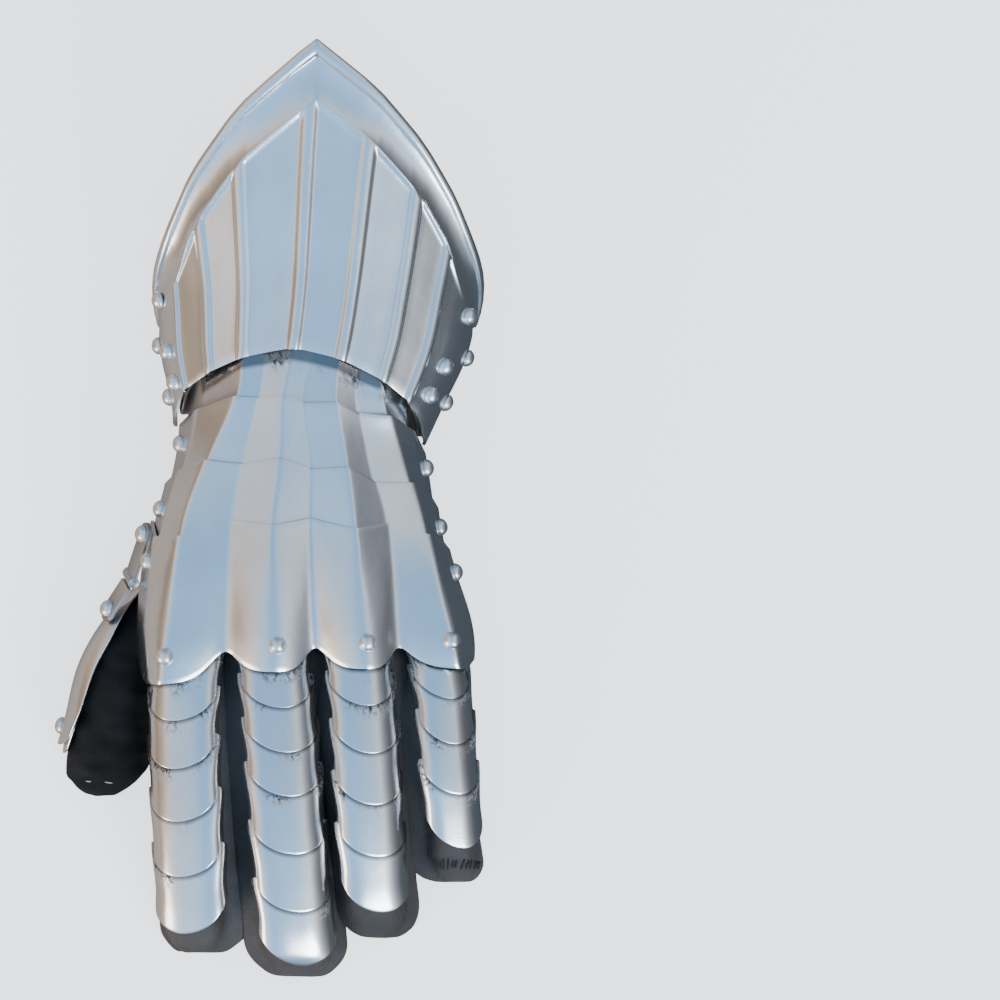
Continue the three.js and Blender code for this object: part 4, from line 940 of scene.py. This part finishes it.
steel_plate("cuff_plate", cuff_columns(), CUFF_ROWS, cuff_face)
steel_plate("cuff_under_plate", steps(72, UNDER_PLATE_TOP, 360 - UNDER_PLATE_TOP), steps(16), under_face,
            material=UNDER_STEEL, centre_at=cuff_middle)
steel_plate("wrist_lame_1", LAME_COLUMNS, steps(40), ARCH_FACES["wrist_lame_1"], lap_at=cuff_shadow)
paint_side_light()
for node in ("wrist_lame_2", "wrist_lame_3"):
    steel_plate(node, LAME_COLUMNS, steps(26), ARCH_FACES[node])
steel_plate("metacarpal_plate", METACARPAL_COLUMNS, steps(26), ARCH_FACES["metacarpal_plate"])


def finger_middle(finger):
    def middle(point):
        section = finger_section(finger, point.y / MM - SHIFT.y)
        return Vector(((section["x"] + SHIFT.x) * MM, point.y, (section["z"] - 4) * MM))

    return middle


def scallop_front():
    """The edge of the metacarpal plate over the fingers, as y against x."""
    spots = [(arch_point(a, knuckle_edge(a)).x, knuckle_edge(a)) for a in steps(96, 0, 12)]
    return smooth_curve(*zip(*spots))


def lap_line(finger, order):
    """How close a point of a scale lies to the edge above it: 1 at the edge and under it, 0 past LAP_REACH."""
    # The lap drives a painted shadow line under the edge above, and soiling past it.
    face = scale_face(finger, order)
    above = scale_face(finger, order - 1) if order else None
    scallop = scallop_front()

    def lap(across, row):
        at = face(across, row)
        edge = above(across, 1).y if above else scallop(at.x)
        return clamp(1 - (edge - at.y) / LAP_REACH, 0, 1) * (1 - 0.6 * across ** 4)

    return lap


def thumb_middle(point):
    share = (THUMB_PATH[0][1] - point.y / MM + SHIFT.y) / (THUMB_PATH[0][1] - THUMB_PATH[1][1])
    return (thumb_frame(clamp(share, 0, 1))[0] + SHIFT) * MM


for name, finger in FINGERS.items():
    for order in range(len(finger["edges"])):
        small_plate(f"scale_{name}_{order + 1}", 40, 34, scale_face(finger, order),
                    centre_at=finger_middle(finger), lap_at=lap_line(finger, order))
for name, plate in (("thumb_plate", THUMB_PLATE), ("thumb_tip_plate", THUMB_TIP_PLATE)):
    small_plate(name, 28, 24, thumb_face(plate), centre_at=thumb_middle)

# ---------- Rivets ----------

# A dome's radius and height, from its top to its rim, and how deep it is let into its plate.
RIVET_PROFILE = ((0, 2.6), (0.75, 2.54), (1.5, 2.32), (2.15, 1.93), (2.7, 1.4), (3.08, 0.82), (3.28, 0.3), (3.3, 0))
RIVET_SEAT = 0.55
RIVET_FOOT = 3.1
HAMMERED = 0.035


def rivet_stand(node):
    """The foot of a rivet's dome and the way it looks, from its solid."""
    points = np.unique(np.round([v.co[:] for v in NODES[node].data.vertices], 6), axis=0)
    middle = points.mean(0)
    values, vectors = np.linalg.eigh(np.cov((points - middle).T))
    odd = max(range(3), key=lambda i: min(abs(values[i] - values[j]) for j in range(3) if j != i))
    axis = vectors[:, odd]
    along = (points - middle) @ axis
    width = np.linalg.norm(points - middle - np.outer(along, axis), axis=1)
    if along[width > RIVET_RADIUS * MM * 0.9].mean() < along.mean():
        axis, along = -axis, -along
    axis = Vector(axis)
    return Vector(middle) + axis * (along.max() - RIVET_HEIGHT * MM), axis


def rivet_mesh(name, foot, axis, seed):
    bm = bmesh.new()
    ring = [bm.verts.new((r, 0, h)) for r, h in (*RIVET_PROFILE, (RIVET_FOOT, -RIVET_SEAT))]
    line = [bm.edges.new(pair) for pair in zip(ring, ring[1:])]
    bmesh.ops.spin(bm, geom=ring + line, cent=(0, 0, 0), axis=(0, 0, 1), angle=2 * math.pi, steps=28, use_merge=True)
    bmesh.ops.remove_doubles(bm, verts=bm.verts[:], dist=0.01)
    bmesh.ops.contextual_create(bm, geom=[e for e in bm.edges if len(e.link_faces) == 1])
    bmesh.ops.recalc_face_normals(bm, faces=bm.faces[:])
    # Each head is hammered a little differently.
    for vert in bm.verts:
        vert.co *= 1 + HAMMERED * noise.noise(Vector(vert.co) * 0.5 + Vector((seed * 3.1, 0, 0)))
    turn = axis.to_track_quat("Z", "Y").to_matrix().to_4x4()
    bmesh.ops.transform(bm, matrix=Matrix.Translation(foot) @ turn @ Matrix.Scale(MM, 4), verts=bm.verts[:])
    mesh = mesh_of(bm, name)
    mesh.shade_smooth()
    return mesh


for seed, node in enumerate(sorted(n for n in NODES if n.startswith("rivet_"))):
    link_piece(node + "_head", rivet_mesh(node, *rivet_stand(node), seed), RIVET_STEEL, "rivet_steel", node)

# ---------- Hinge ----------

BARREL_RADIUS = HINGE_ROLL - 0.35
BARREL_WIDTH = HINGE_WIDTH + 0.6
BARREL_KNUCKLES = 5
PIN_RADIUS = 1.1


def hinge_frames():
    """The way down the upper and the lower leaf, the way each looks, and its length."""
    down = HINGE_END - HINGE_BARREL
    length = down.length
    down.normalize()
    out = (HINGE_FACING - down * HINGE_FACING.dot(down)).normalized()
    fold = math.radians(HINGE_FOLD)
    lower_down = -down * math.cos(fold) + out * math.sin(fold)
    lower_out = down * math.sin(fold) + out * math.cos(fold)
    return (down, out, length), (lower_down, lower_out, HINGE_LOWER)


def hinge_part(name, bm, edges, rounding, turn, *nodes):
    """Rounds some edges of a part of the hinge and lays it in place round the barrel's middle."""
    bmesh.ops.bevel(bm, geom=edges, offset=rounding, offset_type="OFFSET", segments=2, affect="EDGES",
                    profile=0.5, material=-1)
    place = Matrix.Translation((HINGE_BARREL + SHIFT) * MM) @ turn.to_4x4() @ Matrix.Scale(MM, 4)
    bmesh.ops.transform(bm, matrix=place, verts=bm.verts[:])
    return link_piece(name, smoothed(mesh_of(bm, name)), HINGE_STEEL, "hinge_steel", *nodes).data


def sharp_edges(bm):
    return [e for e in bm.edges if e.calc_face_angle(0) > 0.8]


def hinge_leaf(node, down, out, length, start):
    """A leaf with a round end, whose side faces take a near-black steel: painted shade along its edges."""
    half = HINGE_WIDTH / 2
    bm = bmesh.new()
    outline = [(-half, start), (half, start)]
    outline += [(half * math.cos(a), length - half + half * math.sin(a)) for a in steps(16, 0, math.pi)]
    face = bm.faces.new([bm.verts.new((x, y, -HINGE_LEAF / 2)) for x, y in outline])
    raised = bmesh.ops.extrude_face_region(bm, geom=[face])["geom"]
    bmesh.ops.translate(bm, vec=(0, 0, HINGE_LEAF), verts=[v for v in raised if isinstance(v, bmesh.types.BMVert)])
    bmesh.ops.recalc_face_normals(bm, faces=bm.faces[:])
    turn = Matrix((down.cross(out), down, out)).transposed()
    mesh = hinge_part(node + "_strap", bm, sharp_edges(bm), 0.3, turn, node)
    mesh.materials.append(HINGE_EDGE_SHADE)
    for face in mesh.polygons:
        face.material_index = int(abs(face.normal.dot(out)) < 0.5)


def hinge_barrel(down, out):
    """The barrel: five knuckles round a pin, with a small gap between each pair."""
    bm = bmesh.new()
    pitch = BARREL_WIDTH / BARREL_KNUCKLES
    for i in range(BARREL_KNUCKLES):
        knuckle = bmesh.ops.create_cone(bm, cap_ends=True, segments=24, radius1=BARREL_RADIUS,
                                        radius2=BARREL_RADIUS, depth=pitch - 0.3)["verts"]
        bmesh.ops.translate(bm, vec=(0, 0, (i - BARREL_KNUCKLES // 2) * pitch), verts=knuckle)
    pin = bmesh.ops.create_cone(bm, cap_ends=True, segments=16, radius1=PIN_RADIUS, radius2=PIN_RADIUS,
                                depth=BARREL_WIDTH + 0.5)["verts"]
    edges = [e for e in sharp_edges(bm) if e not in pin[0].link_edges]
    hinge_part("hinge_barrel", bm, edges, 0.22, down.cross(out).to_track_quat("Z", "Y").to_matrix())


upper_leaf, lower_leaf = hinge_frames()
hinge_leaf("hinge_upper_leaf", *upper_leaf, 0)
hinge_leaf("hinge_lower_leaf", *lower_leaf, HINGE_ROLL + 0.4)
hinge_barrel(*upper_leaf[:2])

# ---------- Glove ----------

palm = curve_of(PALM)


def full_turn(count):
    return steps(count, 0, 2 * math.pi)[:-1]


def glove_ring(y, shrink=1):
    """An outline of the hand of the glove at y."""
    within = clamp(y, GLOVE_FRONT_Y, GLOVE_WRIST_Y)
    taper = GLOVE_WRIST_TAPER * smoothstep(within, GLOVE_FRONT_Y + 12, GLOVE_WRIST_Y)
    left = hand["left"](within) + GLOVE_SIDE_GAP + taper
    right = hand["right"](within) - GLOVE_SIDE_GAP - taper
    girth = hand["girth"](within) - 6
    above = hand["crown"](within) - hand["relief"](within) - STEEL - LINING_GAP - taper - girth
    below = girth if within >= PALM_RISES_FROM else girth - palm(within)
    points = []
    for turn in full_turn(72):
        power = GLOVE_POWER if turn <= math.pi else PALM_POWER
        up, side = power_sine(turn, power), power_sine(turn + math.pi / 2, power)
        points.append(((left + right) / 2 + (right - left) / 2 * shrink * side, y,
                       girth + (above if up >= 0 else below) * up))
    return points


def tube(bm, rings, ends=(0, -1)):
    """Skins rings of equal count, each a list of points in millimetres, and closes the given ends."""
    loops = [[bm.verts.new((Vector(p) + SHIFT) * MM) for p in ring] for ring in rings]
    edges = [[bm.edges.new(pair) for pair in zip(loop, loop[1:] + loop[:1])] for loop in loops]
    for a, b in zip(edges, edges[1:]):
        bmesh.ops.bridge_loops(bm, edges=a + b)
    for end in ends:
        bm.faces.new(loops[end])


def wrinkle(point, scale, strength, seed):
    """A soft wrinkle: a ridged noise stretched along one direction."""
    sample = Vector([a * b for a, b in zip(point, scale)]) + Vector((seed, seed * 0.7, 0))
    return strength * (0.5 - abs(noise.noise(sample)) * 2)


def glove_point(finger, share, turn):
    """A point of a finger's leather: share of the way from root to tip, turn in radians from the outer side."""
    y = lerp(FINGER_ROOT_Y + 0.2, finger["tip_y"], share)
    section = finger_section(finger, min(y, FINGER_ROOT_Y))
    past = clamp((share - 0.88) / 0.12, 0, 1)
    close = lerp(0.42, 1, math.sqrt(max(1 - past ** 2.2, 0.0)))
    up = power_sine(turn, FINGER_POWER)
    side = power_sine(turn + math.pi / 2, FINGER_POWER)
    flank = section["flanks"][0 if side < 0 else 1] * smoothstep(-up, 0.0, 0.6) * math.copysign(1, side)
    reach = section["wide"] * (1 + LOW_SPREAD * (1 - up)) * side + flank
    point = rolled(section, reach * close, section["high"] * up * (0.5 + 0.5 * close), y)
    return Vector((point.x, y, max(point.z, 0.4)))


def finger_glove(name, finger):
    bm = bmesh.new()
    stations = steps(30, 0, 0.88) + [0.91, 0.935, 0.955, 0.97, 0.982, 0.991, 0.997, 1.0]
    tube(bm, [[glove_point(finger, share, turn) for turn in full_turn(40)] for share in stations], ends=(-1,))
    bmesh.ops.recalc_face_normals(bm, faces=bm.faces[:])
    bm.normal_update()
    seed = len(name) * 3.7 + finger["root"] * 0.11
    for vert in bm.verts:
        point = vert.co / MM
        push = wrinkle(point, (0.09, 0.22, 0.12), 0.55, seed)
        push += 0.25 * noise.noise(point * 0.35 + Vector((seed, 0, 0)))
        low = smoothstep(-vert.normal.z, -0.6, 0.4)
        vert.co += vert.normal * MM * (push * (0.25 + 0.75 * low) - 0.35)
    node = "glove_" + name
    piece = link_piece(node + "_leather", mesh_of(bm, node), GLOVE_LEATHER, "leather", node)
    add_wall(piece, LEATHER)
    soft = piece.modifiers.new("soft", "SUBSURF")
    soft.levels = soft.render_levels = 1
    finish_mesh(piece, 60)


def glove_push(point):
    """How far the leather of the hand and thumb stands out at a point: folds, and room under the lames."""
    on_thumb = smoothstep(-point.x, 34, 44) * smoothstep(-point.y, 20, 34)
    push = min(wrinkle(point, (0.05, 0.12, 0.07), 2.2, 4.2), 0.6) * on_thumb
    push += wrinkle(point, (0.06, 0.07, 0.06), 0.5, 9.5) * (1 - on_thumb)
    push -= lerp(0.4, 1.6, smoothstep(point.y, -30, -5))
    # Room at both sides for the hems of the third lame when the wrist bends.
    by_lame = smoothstep(point.y, -46, -36) * smoothstep(point.z, 12, 15)
    return push - 1.3 * by_lame * max(smoothstep(point.x, 50, 58), smoothstep(-point.x, 34, 40))


def hand_glove():
    """The hand and the thumb of the glove: one skin over both, open at the wrist."""
    bm = bmesh.new()
    places = [GLOVE_WRIST_Y + 4, *steps(24, GLOVE_WRIST_Y, GLOVE_FRONT_Y + 1.5)]
    tube(bm, [glove_ring(y) for y in places] + [glove_ring(GLOVE_FRONT_Y, 0.985)])
    tube(bm, [[leaning_thumb_point(share, turn) for turn in steps(32, 0, 360)[:-1]]
              for share in (*steps(30), *THUMB_TIP_CLOSE)])
    bmesh.ops.recalc_face_normals(bm, faces=bm.faces[:])
    piece = link_piece("glove_hand_leather", mesh_of(bm, "glove_hand"), GLOVE_LEATHER, "leather",
                       "glove_hand", "glove_thumb")
    skin = piece.modifiers.new("skin", "REMESH")
    skin.mode = "VOXEL"
    skin.voxel_size = SKIN_VOXEL * MM
    finish_mesh(piece, 180)
    bm = bmesh.new()
    bm.from_mesh(piece.data)
    for _ in range(SKIN_SMOOTHINGS):
        bmesh.ops.smooth_vert(bm, verts=bm.verts[:], factor=0.5, use_axis_x=True, use_axis_y=True, use_axis_z=True)
    wrist = (GLOVE_WRIST_Y + SHIFT.y) * MM
    bmesh.ops.bisect_plane(bm, geom=bm.verts[:] + bm.edges[:] + bm.faces[:], plane_co=(0, wrist, 0),
                           plane_no=(0, 1, 0), clear_outer=True)
    bm.normal_update()
    for vert in bm.verts:
        vert.co += vert.normal * MM * glove_push(vert.co / MM)
        vert.co.z = max(vert.co.z, 0)
    bm.to_mesh(piece.data)
    bm.free()
    add_wall(piece, LEATHER)
    finish_mesh(piece, 60)
    suede_thumb(piece.data)


def suede_thumb(mesh):
    """The thumb is faced in suede."""
    mesh.materials.append(THUMB_LEATHER)
    for face in mesh.polygons:
        x, y, _ = face.center / MM
        face.material_index = int(x < -33 and y < -22)


for name, finger in FINGERS.items():
    finger_glove(name, finger)
hand_glove()

# ---------- Stitches ----------


def stitch(bm, start, end, radius):
    """One stitch of thread: a slim capsule between two points, in millimetres."""
    made = bmesh.ops.create_uvsphere(bm, u_segments=8, v_segments=6, radius=radius)
    way = end - start
    turn = way.to_track_quat("Z", "Y").to_matrix().to_4x4()
    stretch = Matrix.Scale(way.length / 2 / radius, 4, (0, 0, 1))
    place = Matrix.Scale(MM, 4) @ Matrix.Translation((start + end) / 2 + SHIFT) @ turn @ stretch
    bmesh.ops.transform(bm, matrix=place, verts=made["verts"])


def stitch_piece(name, bm, thread):
    mesh = mesh_of(bm, name)
    mesh.shade_smooth()
    link_piece(name, mesh, thread, "leather")


# Where the little finger is whipped: share and turn, from the outer side, and the length of a stitch.
WHIPPED = [(0.925, turn, 4.2) for turn in range(15, 170, 12)] + [(share, 172, 3.4) for share in steps(9, 0.42, 0.88)]
# The thumb's pale thread: where each stitch starts and ends, as share and turn.
THUMB_STITCHES = (((0.9, -22), (0.904, -9)), ((0.922, 6), (0.93, 14)))


def sew_little_finger():
    """Slanted, uneven whip stitches round the tip of the little finger and up its thumb side."""
    finger = FINGERS["little"]
    uneven = random.Random(7)
    bm = bmesh.new()
    for share, turn, length in WHIPPED:
        half = length * uneven.uniform(0.7, 1.15) / 2 / abs(finger["tip_y"] - FINGER_ROOT_Y)
        turn = math.radians(turn + uneven.uniform(-2.5, 2.5))
        lean = uneven.uniform(0.03, 0.08)
        stitch(bm, glove_point(finger, share - half, turn - lean),
               glove_point(finger, min(share + half, 0.995), turn + lean), 0.42)
    stitch_piece("glove_little_stitches", bm, THREAD)


def sew_thumb():
    bm = bmesh.new()
    for ends in THUMB_STITCHES:
        stitch(bm, *(leaning_thumb_point(share, turn, 0.1) for share, turn in ends), 0.28)
    stitch_piece("glove_thumb_stitches", bm, PALE_THREAD)


sew_little_finger()
sew_thumb()

# ---------- Setting: floor, light and camera ----------

PALE = (0.9, 0.9, 0.9)
FLOOR_GLOW = 1.7
# A painted reflection: the floor's colour in reflected rays only, what a side-facing plate sees of the floor beside
# it, from the thumb's side to the outer side.
FLOOR_PAINTED_REFLECTION = (
    (0.0, (0.70, 0.50, 0.36)), (0.42, (0.62, 0.44, 0.32)), (0.6, (0.11, 0.105, 0.1)), (1.0, (0.08, 0.08, 0.08)))
# The sky over the bench, from the thumb's side (0) to the outer side (1).
SKY = (
    (0.0, (0.33, 0.25, 0.185)), (0.05, (0.60, 0.445, 0.32)), (0.1, (0.74, 0.56, 0.43)), (0.125, (1.25, 0.88, 0.66)),
    (0.155, (0.98, 1.0, 1.06)), (0.27, (0.64, 0.92, 1.22)), (0.4, (0.385, 0.73, 1.2)), (0.64, (0.39, 0.73, 1.18)),
    (0.74, (0.64, 0.89, 1.14)), (0.81, (1.1, 1.16, 1.22)), (0.865, (0.54, 0.58, 0.64)), (0.92, (0.27, 0.31, 0.37)),
    (0.97, (0.18, 0.185, 0.2)), (1.0, (0.10, 0.10, 0.10)))
# How bright the sky is from the fingers' side (0) to the cuff's side (1).
SKY_ALONG = ((0.0, 0.5), (0.1, 1.45), (0.22, 1.2), (0.42, 1.0), (0.7, 0.97), (0.86, 0.62), (1.0, 0.3))


def floor_piece():
    bm = bmesh.new()
    bmesh.ops.create_grid(bm, x_segments=4, y_segments=4, size=3)
    floor = add_to_scene("floor", mesh_of(bm, "floor"))
    material, g, shader, place = new_material("pale_floor")
    # Reflected rays see the floor dark and tinted by side, a painted reflection; other rays see it pale and evenly
    # glowing.
    mirrored = g.add("ShaderNodeLightPath").outputs["Is Glossy Ray"]
    shade = g.ramp(g.range(g.axis(place, "X"), -0.25, 0.25), *FLOOR_PAINTED_REFLECTION)
    g.feed(shader, {
        "Base Color": g.mix(mirrored, g.mix(g.noise(place, 3, 2), PALE, (0.88, 0.88, 0.88)), shade),
        "Emission Color": g.mix(mirrored, (1, 1, 1), (0, 0, 0)),
        "Emission Strength": FLOOR_GLOW,
        "Roughness": 0.9,
        "Specular IOR Level": 0.1,
    })
    floor.data.materials.append(material)
    floor.location.z = -0.0002


def studio_world():
    """Soft light from all round: pale blue above, warm at the thumb's side, dark at the outer side."""
    world = bpy.data.worlds.new("studio")
    bpy.context.scene.world = world
    world.use_nodes = True
    world.node_tree.nodes.clear()
    g = Graph(world.node_tree)
    way = g.add("ShaderNodeTexCoord").outputs["Generated"]
    sky = g.ramp(g.range(g.axis(way, "X"), -1.0, 1.0), *SKY)
    strength = g.ramp(g.range(g.axis(way, "Y"), -1.0, 1.0), *SKY_ALONG)
    seen = g.add("ShaderNodeLightPath").outputs["Is Camera Ray"]
    back = g.add("ShaderNodeBackground", {"Color": g.mix(seen, sky, (0.92, 0.92, 0.92)),
                                          "Strength": g.math("MAXIMUM", strength, seen)})
    g.add("ShaderNodeOutputWorld", {"Surface": back.outputs[0]})


def aimed(name, data, place, way):
    """Adds a lamp or a camera at a place, looking one way."""
    thing = add_to_scene(name, data)
    thing.location = place
    thing.rotation_euler = way.to_track_quat("-Z", "Y").to_euler()
    return thing


def soft_light(name, place, target, size, power, colour):
    lamp = bpy.data.lights.new(name, "AREA")
    lamp.shape = "DISK"
    lamp.size = size
    lamp.energy = power
    lamp.color = colour
    aimed(name, lamp, place, Vector(target) - Vector(place))


floor_piece()
studio_world()
soft_light("key", (0.75, -1.4, 1.0), (0, 0, 0), 0.7, 15, (0.88, 0.95, 1.0))
soft_light("fill", (-1.2, -1.0, 0.45), (0, 0.04, 0.03), 0.6, 7, (1.0, 0.85, 0.7))

CAMERA_TARGET = Vector((0.0859, 0.00726, 0.040))
CAMERA_ELEVATION = math.radians(86)
CAMERA_DISTANCE = 2.3
CAMERA_FIELD = 0.372
CAMERA_SENSOR = 36


def place_camera():
    data = bpy.data.cameras.new("camera")
    data.sensor_width = CAMERA_SENSOR
    data.lens = CAMERA_SENSOR * CAMERA_DISTANCE / CAMERA_FIELD
    data.clip_end = 20
    away = Vector((0, -math.cos(CAMERA_ELEVATION), math.sin(CAMERA_ELEVATION)))
    bpy.context.scene.camera = aimed("camera", data, CAMERA_TARGET + away * CAMERA_DISTANCE, -away)


place_camera()
